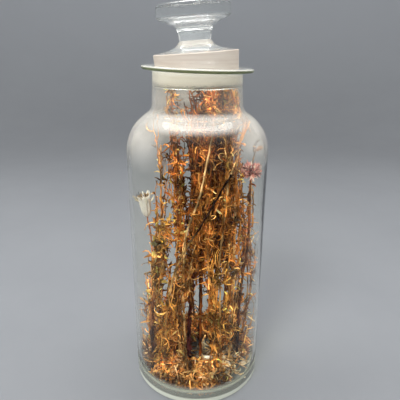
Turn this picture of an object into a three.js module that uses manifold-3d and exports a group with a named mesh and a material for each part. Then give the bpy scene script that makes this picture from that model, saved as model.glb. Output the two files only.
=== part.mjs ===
// Apothecary bottle with a ground glass stopper, holding a bundle of dried herbs.
// Millimetres, +Z up, origin on the axis at the foot, front of the bottle towards -Y.
import * as THREE from "three";
import { mergeVertices } from "three/addons/utils/BufferGeometryUtils.js";
import Module from "manifold-3d";

const wasm = await Module();
wasm.setup();

// Bottle body
const bodyRadius = 51;
const bodyWall = 2.6;
const bodyTop = 188; // where the straight wall turns into the shoulder
const heelRadius = 3.2;
const innerHeelRadius = 9;
const floorThickness = 5.5;
const footRingWidth = 6.8; // flat ring that the bottle stands on
const pushUp = 2.4; // height of the hollow under the foot

// Shoulder and neck
const shoulderSlope = THREE.MathUtils.degToRad(31); // where the two shoulder curves meet
const neckFilletRadius = 8.5;
const neckHeight = 24.1; // from the end of the shoulder up to the top of the lip
const neckFlare = 0.8; // the neck's foot is wider than its top by this radius
const neckWall = 2.2;
const seatWall = 1.85; // around the ground seat

// Lip
const lipReach = 7.4; // beyond the neck
const lipThickness = 2.6;
const lipFillet = 2;
const lipTilt = THREE.MathUtils.degToRad(1.8); // the hand-finished lip runs down towards +X
const lipTiltReach = 6; // length of neck that takes up the tilt
const mouthChamfer = 0.5;

// Ground seat and stopper. The stopper sits a little crooked in its seat.
const seatDepth = 12.5; // ground length of the neck, down from the lip
const seatStep = 0.5; // the ground seat stands this far into the neck
const seatClearance = 0.3;
const plugRadius = 28.4; // at the lip's height
const plugTaper = 0.062; // radius gained per millimetre of height
const plugShort = 1.5; // the plug ends this far above the foot of the ground seat
const plugRise = 9.3; // above the lip, up to the edge of the shoulder face
const plugEdge = 0.6;
const plugWall = 6.7; // around the hollow underside
const plugRoof = 5.3; // over the hollow underside
const hollowDraft = 1.5;
const hollowCornerRadius = 3.5;
const stopperTilt = THREE.MathUtils.degToRad(4.2); // its top leans towards -X

// Knob. The heights follow each other up from the edge of the plug's shoulder face.
const collarRadius = 17;
const collarHeight = 2.4;
const flareHeight = 5;
const stemRadius = 10.5;
const stemHeight = 6.2;
const boltRadius = 12.4; // short ring between the stem and the knob
const boltHeight = 2;
const knobFlareHeight = 5.6;
const knobRadius = 24.6;
const knobHeight = 8.4;
const knobEdge = 1.1;

// Herbs
const herbClearance = 0.3; // to the glass, between two plants, and between a stalk and its head
const herbBack = 20; // the bundle leans forward and leaves the bottle empty behind this
const herbRoughness = 0.9;
const stalkRadius = 1;
const twigRadius = 0.55;
const twigLength = 10;
const leafLength = 10;
const twigLean = THREE.MathUtils.degToRad(50); // from square to the stalk, up along it

// A dried leaf of the usual length. Longer ones are as much wider and more arched.
const leafThickness = 1.2;
const leafWidth = 5;
const leafRise = 2; // of its arch
const leafRoot = 0.12; // share of its length that is in the stalk
const leafLean = THREE.MathUtils.degToRad(48); // from square to the stalk, up or down it
const tipShare = 3; // one leaf in this many grows at the tip of a twig

// Flower heads
const whiteHeadLength = 18;
const whiteHeadRadius = 4.6;
const whiteHeadTeeth = 5;
const toothLength = 5.5;
const pinkHeadRadius = 4.2;
const pinkPetals = 6; // in each of two whorls
const petalLength = 4.4;

// Litter
const litterDepth = 12; // crumbled leaf lying on the floor
const crumbLength = 15;

// Fineness
const lathSides = 40;
const stalkSides = 5;
const stalkStep = 17; // length of one straight piece of a stalk
const twigSides = 3;
const headSides = 8;
const placeTries = 30; // directions tried for a leaf or a twig before it is left off
const weld = 0.03; // edges shorter than about this are closed up
const plantSeed = 1;
const heapSeed = 31;

// The plants. A path's places are shares of the room in the bottle: across towards +X and deep
// towards +Y of the free radius there, and up of the free height. Twigs and leaves start from a
// share of the stalk. The sizes of its stalk, twigs and leaves are multiples of the usual ones.
const plants = [
  {
    name: "white_flower_stalk",
    colour: 0xc79a5e,
    path: [
      [-0.73, -0.12, 0],
      [-0.75, -0.19, 0.24],
      [-0.72, -0.19, 0.5],
      [-0.77, -0.19, 0.59],
    ],
    stalk: 0.75,
    twigs: 1,
    twig: 1,
    leaves: 3,
    leaf: 0.9,
    from: 0.3,
  },
  {
    name: "pink_flower_stalk",
    colour: 0x8a5a34,
    path: [
      [0.77, -0.15, 0],
      [0.72, -0.17, 0.3],
      [0.8, -0.17, 0.5],
      [0.8, -0.17, 0.73],
    ],
    stalk: 0.95,
    twigs: 2,
    twig: 1.2,
    leaves: 5,
    leaf: 1,
    from: 0.3,
  },
  {
    name: "curled_stalk",
    colour: 0xb9824a,
    path: [
      [0.64, 0.22, 0],
      [0.77, 0.19, 0.29],
      [0.86, 0.13, 0.48],
      [0.87, 0.08, 0.77],
      [0.9, 0.06, 0.8],
    ],
    stalk: 0.7,
    twigs: 1,
    twig: 1,
    leaves: 4,
    leaf: 0.9,
    from: 0.4,
  },
  {
    name: "forked_straw_stalk",
    colour: 0xd9b27c,
    path: [
      [-0.17, -0.64, 0],
      [-0.21, -0.5, 0.4],
      [-0.14, -0.5, 0.57],
      [0.02, -0.5, 0.67],
      [0.25, -0.53, 0.88],
    ],
    stalk: 0.8,
    twigs: 3,
    twig: 2,
    leaves: 5,
    leaf: 0.9,
    from: 0.3,
  },
  {
    name: "dark_diagonal_stalk",
    colour: 0x4a2a16,
    path: [
      [-0.58, -0.58, 0],
      [-0.46, -0.64, 0.28],
      [-0.28, -0.65, 0.47],
      [0.06, -0.65, 0.6],
      [0.47, -0.62, 0.76],
    ],
    stalk: 0.8,
    twigs: 2,
    twig: 1.4,
    leaves: 5,
    leaf: 1,
    from: 0.25,
  },
  {
    name: "left_straw_stalk",
    colour: 0xcfa66a,
    path: [
      [-0.65, 0.04, 0],
      [-0.66, -0.04, 0.25],
      [-0.58, -0.06, 0.53],
      [-0.55, -0.04, 0.82],
    ],
    stalk: 0.75,
    twigs: 2,
    twig: 1.4,
    leaves: 6,
    leaf: 0.9,
    from: 0.2,
  },
  {
    name: "right_straw_stalk",
    colour: 0xd2a869,
    path: [
      [0.58, -0.37, 0],
      [0.59, -0.31, 0.28],
      [0.585, -0.31, 0.47],
      [0.57, -0.29, 0.76],
    ],
    stalk: 0.9,
    twigs: 2,
    twig: 1.4,
    leaves: 5,
    leaf: 0.9,
    from: 0.2,
  },
  {
    name: "orange_leaf_stalk",
    colour: 0xb5651f,
    path: [
      [-0.39, -0.35, 0],
      [-0.35, -0.29, 0.28],
      [-0.3, -0.31, 0.51],
      [-0.29, -0.3, 0.85],
    ],
    stalk: 0.9,
    twigs: 2,
    twig: 1.2,
    leaves: 11,
    leaf: 1.4,
    from: 0.3,
  },
  {
    name: "sprig_stalk",
    colour: 0x8c6a55,
    path: [
      [-0.35, 0.09, 0],
      [-0.25, 0.1, 0.5],
      [-0.35, 0.08, 0.75],
      [-0.51, -0.17, 0.91],
      [-0.59, -0.49, 0.98],
    ],
    stalk: 0.7,
    twigs: 3,
    twig: 1.2,
    leaves: 6,
    leaf: 0.8,
    from: 0.4,
  },
  {
    name: "spiky_leaf_stalk",
    colour: 0xc9a258,
    path: [
      [0.3, -0.58, 0],
      [0.33, -0.5, 0.42],
      [0.41, -0.52, 0.64],
      [0.46, -0.52, 0.81],
    ],
    stalk: 0.8,
    twigs: 2,
    twig: 1.3,
    leaves: 8,
    leaf: 1.4,
    from: 0.35,
  },
  {
    name: "brown_bunch_front",
    colour: 0x9c5a1e,
    path: [
      [0.06, -0.32, 0],
      [0.08, -0.33, 0.42],
      [0.17, -0.31, 0.73],
      [0.32, -0.29, 0.92],
      [0.31, -0.14, 0.98],
    ],
    stalk: 0.95,
    twigs: 3,
    twig: 1.5,
    leaves: 15,
    leaf: 1.8,
    from: 0.42,
  },
  {
    name: "brown_bunch_middle",
    colour: 0x8f4f1a,
    path: [
      [0.26, -0.11, 0],
      [0.25, -0.1, 0.42],
      [0.31, -0.1, 0.73],
      [0.62, 0, 0.98],
    ],
    stalk: 0.95,
    twigs: 3,
    twig: 1.5,
    leaves: 13,
    leaf: 1.8,
    from: 0.42,
  },
  {
    name: "brown_bunch_right",
    colour: 0xa3622a,
    path: [
      [0.48, -0.09, 0],
      [0.48, -0.12, 0.42],
      [0.5, -0.15, 0.73],
      [0.69, -0.26, 0.91],
      [0.76, -0.38, 0.98],
    ],
    stalk: 0.95,
    twigs: 3,
    twig: 1.5,
    leaves: 14,
    leaf: 1.8,
    from: 0.42,
  },
  {
    name: "brown_bunch_back",
    colour: 0x7c431a,
    path: [
      [0.04, 0.13, 0],
      [0.06, 0.15, 0.42],
      [0.1, 0.17, 0.73],
      [0.24, 0.35, 0.98],
    ],
    stalk: 0.95,
    twigs: 2,
    twig: 1.5,
    leaves: 11,
    leaf: 1.8,
    from: 0.42,
  },
  {
    name: "brown_bunch_far",
    colour: 0x864a1d,
    path: [
      [0.35, 0.22, 0],
      [0.33, 0.25, 0.42],
      [0.35, 0.27, 0.73],
      [0.55, 0.48, 0.98],
    ],
    stalk: 0.95,
    twigs: 2,
    twig: 1.5,
    leaves: 11,
    leaf: 1.8,
    from: 0.42,
  },
  {
    name: "left_leafy_stalk",
    colour: 0xa96f35,
    path: [
      [-0.76, -0.37, 0],
      [-0.75, -0.33, 0.22],
      [-0.645, -0.33, 0.37],
      [-0.56, -0.31, 0.51],
    ],
    stalk: 1.2,
    twigs: 3,
    twig: 1.2,
    leaves: 10,
    leaf: 1.3,
    from: 0.3,
  },
  {
    name: "forked_maroon_stalk",
    colour: 0x4d211c,
    path: [
      [-0.15, -0.28, 0],
      [-0.13, -0.25, 0.19],
      [-0.08, -0.23, 0.31],
      [0.02, -0.19, 0.53],
    ],
    stalk: 1.25,
    twigs: 3,
    twig: 2.2,
    leaves: 6,
    leaf: 1.3,
    from: 0.25,
  },
  {
    name: "right_pale_stalk",
    colour: 0xb98d66,
    path: [
      [0.84, 0.06, 0],
      [0.86, 0, 0.3],
      [0.79, 0.04, 0.5],
      [0.69, 0.06, 0.68],
    ],
    stalk: 0.7,
    twigs: 2,
    twig: 1.2,
    leaves: 5,
    leaf: 0.9,
    from: 0.3,
  },
  {
    name: "short_stalk_left",
    colour: 0xad7331,
    path: [
      [-0.48, -0.17, 0],
      [-0.5, -0.17, 0.24],
      [-0.42, -0.15, 0.42],
    ],
    stalk: 0.9,
    twigs: 3,
    twig: 1.3,
    leaves: 8,
    leaf: 1.3,
    from: 0.2,
  },
  {
    name: "short_stalk_right",
    colour: 0xb27a38,
    path: [
      [0.45, -0.64, 0],
      [0.37, -0.69, 0.2],
      [0.35, -0.69, 0.41],
    ],
    stalk: 0.8,
    twigs: 3,
    twig: 1.3,
    leaves: 7,
    leaf: 1.2,
    from: 0.25,
  },
];

// Heaps of crumbled leaf on the floor. Each lump is across and deep as above, and its radius is a
// share of the floor's.
const heaps = [
  {
    name: "litter_front",
    colour: 0x8a4f20,
    lumps: [
      [-0.52, -0.55, 0.286],
      [-0.28, -0.72, 0.264],
      [0, -0.78, 0.264],
      [0.28, -0.7, 0.264],
      [0, -0.5, 0.242],
    ],
    leaves: 11,
  },
  {
    name: "litter_left",
    colour: 0x955a26,
    lumps: [
      [-0.76, -0.14, 0.286],
      [-0.72, 0.18, 0.286],
      [-0.44, -0.14, 0.264],
      [-0.34, 0.22, 0.242],
    ],
    leaves: 9,
  },
  {
    name: "litter_back",
    colour: 0x7a451c,
    lumps: [
      [-0.3, 0.66, 0.264],
      [0, 0.7, 0.264],
      [0.32, 0.62, 0.264],
      [0.6, 0.4, 0.242],
      [0.78, 0.1, 0.22],
    ],
    leaves: 9,
  },
];

// A run of points along a circular arc. Angles are in radians from +X.
function arc(centreX, centreZ, radius, from, to, steps) {
  return Array.from({ length: steps + 1 }, (_, i) => {
    const angle = from + ((to - from) * i) / steps;
    return new THREE.Vector2(centreX + radius * Math.cos(angle), centreZ + radius * Math.sin(angle));
  });
}

function lathe(points, sides = lathSides) {
  return new THREE.LatheGeometry(points, sides).rotateX(Math.PI / 2);
}

// A closed solid from a closed geometry, whatever seams the geometry has.
function solidOf(geometry) {
  geometry.deleteAttribute("normal");
  geometry.deleteAttribute("uv");
  const merged = mergeVertices(geometry);
  const corners = Array.from(merged.index.array);
  const triVerts = [];
  for (let i = 0; i < corners.length; i += 3) {
    const triangle = corners.slice(i, i + 3);
    if (new Set(triangle).size === 3) {
      triVerts.push(...triangle);
    }
  }
  return new wasm.Manifold(
    new wasm.Mesh({
      numProp: 3,
      vertProperties: merged.attributes.position.array,
      triVerts: Uint32Array.from(triVerts),
    }),
  );
}

function geometryOf(solid) {
  const mesh = solid.getMesh();
  const geometry = new THREE.BufferGeometry();
  geometry.setAttribute("position", new THREE.BufferAttribute(mesh.vertProperties, 3));
  geometry.setIndex(new THREE.BufferAttribute(mesh.triVerts, 1));
  geometry.computeVertexNormals();
  return geometry;
}

// Height of the hollow under the foot at a radius. The inner floor rises with it.
const footInnerRadius = bodyRadius - heelRadius - footRingWidth;
function footHeight(radius) {
  const share = Math.min(1, radius / footInnerRadius);
  return pushUp * (1 - share * share);
}

const plugDepth = seatDepth - plugShort;

// The seat is the plug's cone, opened by the clearance and by what the crooked plug needs.
const tiltAllowance =
  (plugDepth / 2) * Math.sin(stopperTilt) + plugRadius * (1 / Math.cos(stopperTilt) - 1);
const mouthRadius = plugRadius + seatClearance + tiltAllowance;
const neckTopRadius = mouthRadius + seatWall;
const neckFootRadius = neckTopRadius + neckFlare;
const lipRadius = neckTopRadius + lipReach;

// The two shoulder curves meet at the slope, and keep their centres inside and outside.
const shoulderRadius =
  (bodyRadius - neckFootRadius) / (1 - Math.sin(shoulderSlope)) - neckFilletRadius;
const convexX = bodyRadius - shoulderRadius;
const convexTurn = Math.PI / 2 - shoulderSlope;
const concaveX = neckFootRadius + neckFilletRadius;
const neckFoot = bodyTop + (shoulderRadius + neckFilletRadius) * Math.cos(shoulderSlope);

const lipTop = neckFoot + neckHeight;
const seatFoot = lipTop - seatDepth;
const seatMiddle = lipTop - plugDepth / 2;

function plugRadiusAt(height) {
  return plugRadius + plugTaper * (height - lipTop);
}

function seatRadiusAt(height) {
  return mouthRadius + plugTaper * (height - lipTop);
}

// The shoulder from the wall up to the neck, set in from the outer face by a distance.
function shoulderProfile(inset, neckInset) {
  return [
    ...arc(convexX, bodyTop, shoulderRadius - inset, 0, convexTurn, 5),
    ...arc(concaveX, neckFoot, neckFilletRadius + neckInset, Math.PI + convexTurn, Math.PI, 3),
  ];
}

// The inside of the bottle from the neck down to the middle of the floor, less a gap.
function innerProfile(gap) {
  const heelX = bodyRadius - bodyWall - innerHeelRadius;
  const heelZ = floorThickness + footHeight(heelX);
  const floor = [3, 2, 1, 0].map((quarter) => {
    const radius = (heelX * quarter) / 4;
    return new THREE.Vector2(radius, floorThickness + footHeight(radius) + gap);
  });
  return [
    ...shoulderProfile(bodyWall + gap, neckWall + gap).reverse(),
    ...arc(heelX, heelZ + innerHeelRadius, innerHeelRadius - gap, 0, -Math.PI / 2, 3),
    ...floor,
  ];
}

function bottleProfile() {
  const under = [0, 1, 2, 3, 4].map((quarter) => {
    const radius = (footInnerRadius * quarter) / 4;
    return new THREE.Vector2(radius, footHeight(radius));
  });
  const lipUnder = lipTop - lipThickness;
  const lipEdge = lipThickness / 2;
  return [
    ...under,
    ...arc(bodyRadius - heelRadius, heelRadius, heelRadius, -Math.PI / 2, 0, 3),
    ...shoulderProfile(0, 0),
    ...arc(neckTopRadius + lipFillet, lipUnder - lipFillet, lipFillet, Math.PI, Math.PI / 2, 2),
    ...arc(lipRadius - lipEdge, lipTop - lipEdge, lipEdge, -Math.PI / 2, Math.PI / 2, 4),
    new THREE.Vector2(seatRadiusAt(lipTop) + mouthChamfer, lipTop),
    new THREE.Vector2(seatRadiusAt(lipTop - mouthChamfer), lipTop - mouthChamfer),
    new THREE.Vector2(seatRadiusAt(seatFoot), seatFoot),
    new THREE.Vector2(seatRadiusAt(seatFoot) + seatStep, seatFoot - seatStep),
    ...innerProfile(0),
  ];
}

// Slides each ring of the lip down towards +X, and less and less of the neck under it.
function tiltLip(geometry) {
  const position = geometry.attributes.position;
  for (let i = 0; i < position.count; i += 1) {
    const share = (position.getZ(i) - lipTop + lipThickness + lipTiltReach) / lipTiltReach;
    const drop = position.getX(i) * Math.tan(lipTilt) * THREE.MathUtils.clamp(share, 0, 1);
    position.setZ(i, position.getZ(i) - drop);
  }
  return geometry;
}

function stopperProfile() {
  const foot = lipTop - plugDepth;
  const shoulder = lipTop + plugRise;
  const hollowTop = shoulder - plugRoof;
  const hollowRadius = plugRadiusAt(foot) - plugWall;
  const cornerX = hollowRadius - hollowDraft - hollowCornerRadius;
  const stemFoot = shoulder + collarHeight + flareHeight;
  const stemTop = stemFoot + stemHeight;
  const boltTop = stemTop + boltHeight;
  const knobFoot = boltTop + knobFlareHeight;
  const knobTop = knobFoot + knobHeight;
  return [
    new THREE.Vector2(0, hollowTop),
    ...arc(cornerX, hollowTop - hollowCornerRadius, hollowCornerRadius, Math.PI / 2, 0, 2),
    new THREE.Vector2(hollowRadius, foot),
    new THREE.Vector2(plugRadiusAt(foot) - plugEdge, foot),
    new THREE.Vector2(plugRadiusAt(foot + plugEdge), foot + plugEdge),
    new THREE.Vector2(plugRadiusAt(shoulder - plugEdge), shoulder - plugEdge),
    new THREE.Vector2(plugRadiusAt(shoulder) - plugEdge, shoulder),
    new THREE.Vector2(collarRadius, shoulder + collarHeight),
    new THREE.Vector2((collarRadius + stemRadius) / 2 - plugEdge, stemFoot - flareHeight / 2 - plugEdge),
    new THREE.Vector2(stemRadius, stemFoot),
    new THREE.Vector2(stemRadius, stemTop),
    new THREE.Vector2(boltRadius, stemTop + plugEdge),
    new THREE.Vector2(boltRadius, boltTop),
    new THREE.Vector2((boltRadius + knobRadius) / 2, boltTop + knobFlareHeight / 2 + plugEdge),
    new THREE.Vector2(knobRadius - knobEdge, knobFoot - knobEdge / 2),
    new THREE.Vector2(knobRadius, knobFoot + knobEdge / 2),
    new THREE.Vector2(knobRadius, knobTop - knobEdge),
    new THREE.Vector2(knobRadius - knobEdge, knobTop),
    new THREE.Vector2(0, knobTop),
  ];
}

// The room that the herbs have: the inside of the bottle up to the lowest corner of the plug.
const plugCorner =
  seatMiddle - (plugDepth / 2) * Math.cos(stopperTilt) - plugRadius * Math.sin(stopperTilt);
const roomTop = plugCorner - herbClearance;
const roomFoot = floorThickness;
const roomOutline = [
  ...innerProfile(herbClearance).reverse(),
  new THREE.Vector2(seatRadiusAt(seatFoot) - herbClearance, roomTop),
  new THREE.Vector2(0, roomTop),
];
const room = solidOf(lathe(roomOutline));

// Free radius at a height, read off the room's outline.
function roomRadius(height) {
  const z = THREE.MathUtils.clamp(height, roomOutline[0].y, roomTop);
  let radius = 0;
  for (let i = 1; i < roomOutline.length; i += 1) {
    const [low, high] = [roomOutline[i - 1], roomOutline[i]];
    if (z >= low.y && z <= high.y && high.y > low.y) {
      radius = Math.max(radius, low.x + ((high.x - low.x) * (z - low.y)) / (high.y - low.y));
    }
  }
  return radius;
}

// A place in the room. Across and deep are shares of the free radius, up of the room's height.
function place([across, deep, up]) {
  const height = roomFoot + up * (roomTop - roomFoot);
  const radius = roomRadius(height);
  return new THREE.Vector3(across * radius, deep * radius, height);
}

// The same draws every time, from 0 to 1.
function draws(seed) {
  let state = seed * 2654435761;
  return () => {
    state = (state + 1831565813) | 0;
    let mixed = Math.imul(state ^ (state >>> 15), state | 1);
    mixed ^= mixed + Math.imul(mixed ^ (mixed >>> 7), mixed | 61);
    return ((mixed ^ (mixed >>> 14)) >>> 0) / 4294967296;
  };
}

// A rod along a curve, in straight pieces.
function rod(curve, radius, sides, steps) {
  const section = new THREE.Shape(
    Array.from({ length: sides }, (_, i) => {
      const angle = (2 * Math.PI * i) / sides;
      return new THREE.Vector2(radius * Math.cos(angle), radius * Math.sin(angle));
    }),
  );
  return solidOf(new THREE.ExtrudeGeometry(section, { steps, extrudePath: curve }));
}

// A dried leaf: a thin lozenge from its root along a direction, arched towards its face. A margin
// makes it larger on every side.
function blade({ root, along, face, length, width, arch = 0, margin = 0 }) {
  const geometry = new THREE.OctahedronGeometry(1, 0);
  const position = geometry.attributes.position;
  for (let i = 0; i < position.count; i += 1) {
    const [x, y, z] = [position.getX(i), position.getY(i), position.getZ(i)];
    position.setXYZ(
      i,
      x * (width / 2 + margin),
      y * (length / 2 + margin),
      z * (leafThickness / 2 + margin) + arch * (1 - Math.abs(y)),
    );
  }
  const across = new THREE.Vector3().crossVectors(along, face);
  geometry.applyMatrix4(new THREE.Matrix4().makeBasis(across, along, face));
  const middle = root.clone().addScaledVector(along, length / 2);
  geometry.translate(middle.x, middle.y, middle.z);
  return solidOf(geometry);
}

// A direction square to another one, as near as can be to a hint.
function squareTo(along, hint) {
  return hint.clone().projectOnPlane(along).normalize();
}

// Solids of different plants are kept apart by balls along their middle lines.
const taken = [];

function leafBalls({ root, along, face, length, width, arch }) {
  return [0.3, 0.6, 0.9].map((share) => ({
    centre: root
      .clone()
      .addScaledVector(along, length * share)
      .addScaledVector(face, arch * (1 - Math.abs(2 * share - 1))),
    radius: width / 2,
  }));
}

function rodBalls(curve, radius, steps) {
  const points = curve.getSpacedPoints(steps);
  const balls = [];
  for (let i = 0; i < steps; i += 1) {
    const count = Math.ceil(points[i].distanceTo(points[i + 1]) / (2 * radius));
    for (let k = 0; k <= count; k += 1) {
      balls.push({ centre: points[i].clone().lerp(points[i + 1], k / count), radius });
    }
  }
  return balls;
}

function take(balls, owner) {
  taken.push(...balls.map((ball) => ({ ...ball, owner })));
}

// Above the litter, inside the glass, in front of the empty space, and clear of other plants.
const litterTop = roomFoot + pushUp + litterDepth;
function isFree(balls, owner) {
  return balls.every(
    ({ centre, radius }) =>
      Math.hypot(centre.x, centre.y) + radius < roomRadius(centre.z) &&
      centre.y + radius < herbBack &&
      centre.z - radius > litterTop &&
      centre.z + radius < roomTop &&
      taken.every(
        (other) =>
          other.owner === owner ||
          other.centre.distanceTo(centre) > other.radius + radius + herbClearance,
      ),
  );
}

// A direction away from a stalk: sideways at an angle, and up or down it by a slope.
function aside(tangent, angle, slope) {
  const side = new THREE.Vector3(Math.cos(angle), Math.sin(angle), 0);
  return side.addScaledVector(tangent, slope).normalize();
}

function largest(solid) {
  const pieces = solid.decompose();
  return pieces.reduce((best, piece) => (piece.volume() > best.volume() ? piece : best));
}

// What is left of a solid inside the room, without slivers.
function inRoom(solid) {
  return largest(solid.intersect(room).simplify(weld));
}

function stalkCurve(plant) {
  return new THREE.CatmullRomCurve3(plant.path.map(place));
}

function stalkSteps(curve) {
  return Math.max(2, Math.round(curve.getLength() / stalkStep));
}

// A plant's bare stalk, thicker by a margin.
function stalkRod(plant, margin) {
  const curve = stalkCurve(plant);
  return rod(curve, plant.stalk * stalkRadius + margin, stalkSides, stalkSteps(curve));
}

// A length about its usual size.
function vary(length, random) {
  return length * (0.7 + 0.6 * random());
}

// The width and the arch of a leaf of some length.
function leafSize(length, bend) {
  const size = length / leafLength;
  return { length, width: size * leafWidth, arch: size * leafRise * bend };
}

function twigSpot(plant, start, tangent, random) {
  const along = aside(tangent, 2 * Math.PI * random(), Math.tan(twigLean));
  const end = start.clone().addScaledVector(along, vary(plant.twig * twigLength, random));
  return { along, end, curve: new THREE.LineCurve3(start, end) };
}

function leafSpot(plant, { at, tangent }, random) {
  const slope = Math.tan(leafLean) * (2 * random() - 0.7);
  const along = aside(tangent, 2 * Math.PI * random(), slope);
  const face = squareTo(along, aside(along, 2 * Math.PI * random(), 0));
  const length = vary(plant.leaf * leafLength, random);
  const leaf = { along, face, ...leafSize(length, 0.5 + random()) };
  const root = at
    .clone()
    .addScaledVector(along, -length * leafRoot)
    .addScaledVector(face, -2 * leaf.arch * leafRoot);
  return { root, ...leaf };
}

// A solid with another one added, or null where that would close a loop.
function branch(solid, added) {
  const whole = solid.add(added);
  return whole.genus() > solid.genus() ? null : whole;
}

// A stalk with its twigs and leaves. One that finds no free place is left off, and so is one that
// would grow back into its own plant.
function grow(plant, seed) {
  const random = draws(seed);
  const curve = stalkCurve(plant);
  const tips = [];
  let solid = stalkRod(plant, 0);
  for (let i = 0; i < plant.twigs; i += 1) {
    const share = plant.from + (0.95 - plant.from) * ((i + random()) / plant.twigs);
    for (let tries = 0; tries < placeTries; tries += 1) {
      const twig = twigSpot(plant, curve.getPointAt(share), curve.getTangentAt(share), random);
      const balls = rodBalls(twig.curve, twigRadius, 1);
      const grown =
        isFree(balls, plant.name) && branch(solid, rod(twig.curve, twigRadius, twigSides, 1));
      if (grown) {
        solid = grown;
        take(balls, plant.name);
        tips.push({ at: twig.end, tangent: twig.along });
        break;
      }
    }
  }
  for (let i = 0; i < plant.leaves; i += 1) {
    const share = plant.from + (1 - plant.from) * ((i + random()) / plant.leaves);
    const tip = tips[Math.floor(random() * tips.length * tipShare)];
    const base = tip ?? { at: curve.getPointAt(share), tangent: curve.getTangentAt(share) };
    for (let tries = 0; tries < placeTries; tries += 1) {
      const spot = leafSpot(plant, base, random);
      const balls = leafBalls(spot);
      const grown = isFree(balls, plant.name) && branch(solid, blade(spot));
      if (grown) {
        solid = grown;
        take(balls, plant.name);
        break;
      }
    }
  }
  return inRoom(solid);
}

// The frame at the top of a stalk: where a head sits, and which way it points.
function stalkEnd(name) {
  const curve = stalkCurve(plants.find((plant) => plant.name === name));
  return { tip: curve.getPointAt(1), axis: curve.getTangentAt(1) };
}

function onStalk(geometry, { tip, axis }) {
  const turn = new THREE.Quaternion().setFromUnitVectors(new THREE.Vector3(0, 0, 1), axis);
  const seat = tip.clone().addScaledVector(axis, herbClearance);
  return geometry.applyQuaternion(turn).translate(seat.x, seat.y, seat.z);
}

// A ring of blades around a head, rooted at a height and a radius.
function whorl(end, { count, turn, slope, height, radius, length, width }) {
  const blades = [];
  for (let i = 0; i < count; i += 1) {
    const angle = turn + (2 * Math.PI * i) / count;
    const along = aside(end.axis, angle, slope);
    const root = end.tip
      .clone()
      .addScaledVector(end.axis, herbClearance + height)
      .addScaledVector(aside(end.axis, angle, 0), radius);
    blades.push(blade({ root, along, face: squareTo(along, end.axis), length, width }));
  }
  return blades;
}

// A tall cup, narrow at its foot, with a ring of dry teeth around its rim.
function whiteHead(end) {
  const length = whiteHeadLength;
  const radius = whiteHeadRadius;
  const cup = [
    new THREE.Vector2(0, 0),
    new THREE.Vector2(radius * 0.4, 0),
    new THREE.Vector2(radius * 0.75, length * 0.45),
    new THREE.Vector2(radius, length),
    new THREE.Vector2(radius * 0.7, length),
    new THREE.Vector2(0, length * 0.8),
  ];
  const teeth = whorl(end, {
    count: whiteHeadTeeth,
    turn: 0,
    slope: 1.5,
    height: length * 0.85,
    radius: radius * 0.75,
    length: toothLength,
    width: toothLength / 2,
  });
  return teeth.reduce((solid, tooth) => solid.add(tooth), solidOf(onStalk(lathe(cup, headSides), end)));
}

// A round head of short petals in two whorls.
function pinkHead(end) {
  const heart = new THREE.SphereGeometry(pinkHeadRadius, headSides, 4);
  heart.rotateX(Math.PI / 2).scale(1, 1, 0.8).translate(0, 0, pinkHeadRadius * 0.8);
  const petals = [0, 1].flatMap((row) =>
    whorl(end, {
      count: pinkPetals,
      turn: (Math.PI * row) / pinkPetals,
      slope: row ? 0.9 : 0.1,
      height: pinkHeadRadius * 0.8,
      radius: pinkHeadRadius * 0.5,
      length: petalLength,
      width: petalLength * 0.6,
    }),
  );
  return petals.reduce((solid, petal) => solid.add(petal), solidOf(onStalk(heart, end)));
}

const heads = [
  {
    name: "white_flower_head",
    stalk: "white_flower_stalk",
    colour: 0xe6dcc8,
    reach: whiteHeadLength,
    build: whiteHead,
  },
  {
    name: "pink_flower_head",
    stalk: "pink_flower_stalk",
    colour: 0xa8696a,
    reach: 2 * pinkHeadRadius,
    build: pinkHead,
  },
];

function headBalls({ stalk, reach }) {
  const { tip, axis } = stalkEnd(stalk);
  return [0, 1 / 3, 2 / 3, 1].map((share) => ({
    centre: tip.clone().addScaledVector(axis, reach * share),
    radius: whiteHeadRadius + toothLength / 2,
  }));
}

function lumpSolid({ centre, radius, height, turn }, margin) {
  const lump = new THREE.IcosahedronGeometry(1, 0).rotateZ(turn);
  lump.scale(radius + margin, radius + margin, height + margin);
  return solidOf(lump.translate(centre.x, centre.y, roomFoot));
}

// The lumps of a heap and the leaves that stick out of it, without those that would close a loop.
function heapPieces(heap, seed) {
  const random = draws(seed);
  const lumps = heap.lumps.map(([across, deep, share]) => {
    const height = litterDepth * (0.7 + 0.3 * random());
    const radius = share * roomRadius(roomFoot);
    return { centre: place([across, deep, 0]), radius, height, turn: 2 * Math.PI * random() };
  });
  const crumbs = [];
  let solid = lumps.map((lump) => lumpSolid(lump, 0)).reduce((whole, lump) => whole.add(lump));
  for (let i = 0; i < heap.leaves; i += 1) {
    const { centre, radius, height } = lumps[i % lumps.length];
    const along = aside(new THREE.Vector3(0, 0, 1), 2 * Math.PI * random(), 0.2 + 0.6 * random());
    const root = centre.clone().addScaledVector(along, radius / 2);
    root.z = roomFoot + height * (0.3 + 0.3 * random());
    const face = squareTo(along, aside(along, 2 * Math.PI * random(), 0));
    const crumb = { root, along, face, ...leafSize(vary(crumbLength, random), 1) };
    const grown = branch(solid, blade(crumb));
    if (grown) {
      solid = grown;
      crumbs.push(crumb);
    }
  }
  return { solid, lumps, crumbs };
}

// A heap spread by a margin on every side.
function spread({ lumps, crumbs }, margin) {
  return [
    ...lumps.map((lump) => lumpSolid(lump, margin)),
    ...crumbs.map((crumb) => blade({ ...crumb, margin })),
  ].reduce((whole, solid) => whole.add(solid));
}

// The stalks stand in holes through the heaps, and a heap keeps clear of those before it.
function litter() {
  const built = heaps.map((heap, index) => heapPieces(heap, heapSeed + index));
  const holes = plants.map((plant) => stalkRod(plant, herbClearance));
  return built.map(({ solid }, index) => {
    const others = built.slice(0, index).map((heap) => spread(heap, herbClearance));
    return inRoom([...others, ...holes].reduce((rest, cut) => rest.subtract(cut), solid));
  });
}

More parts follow.
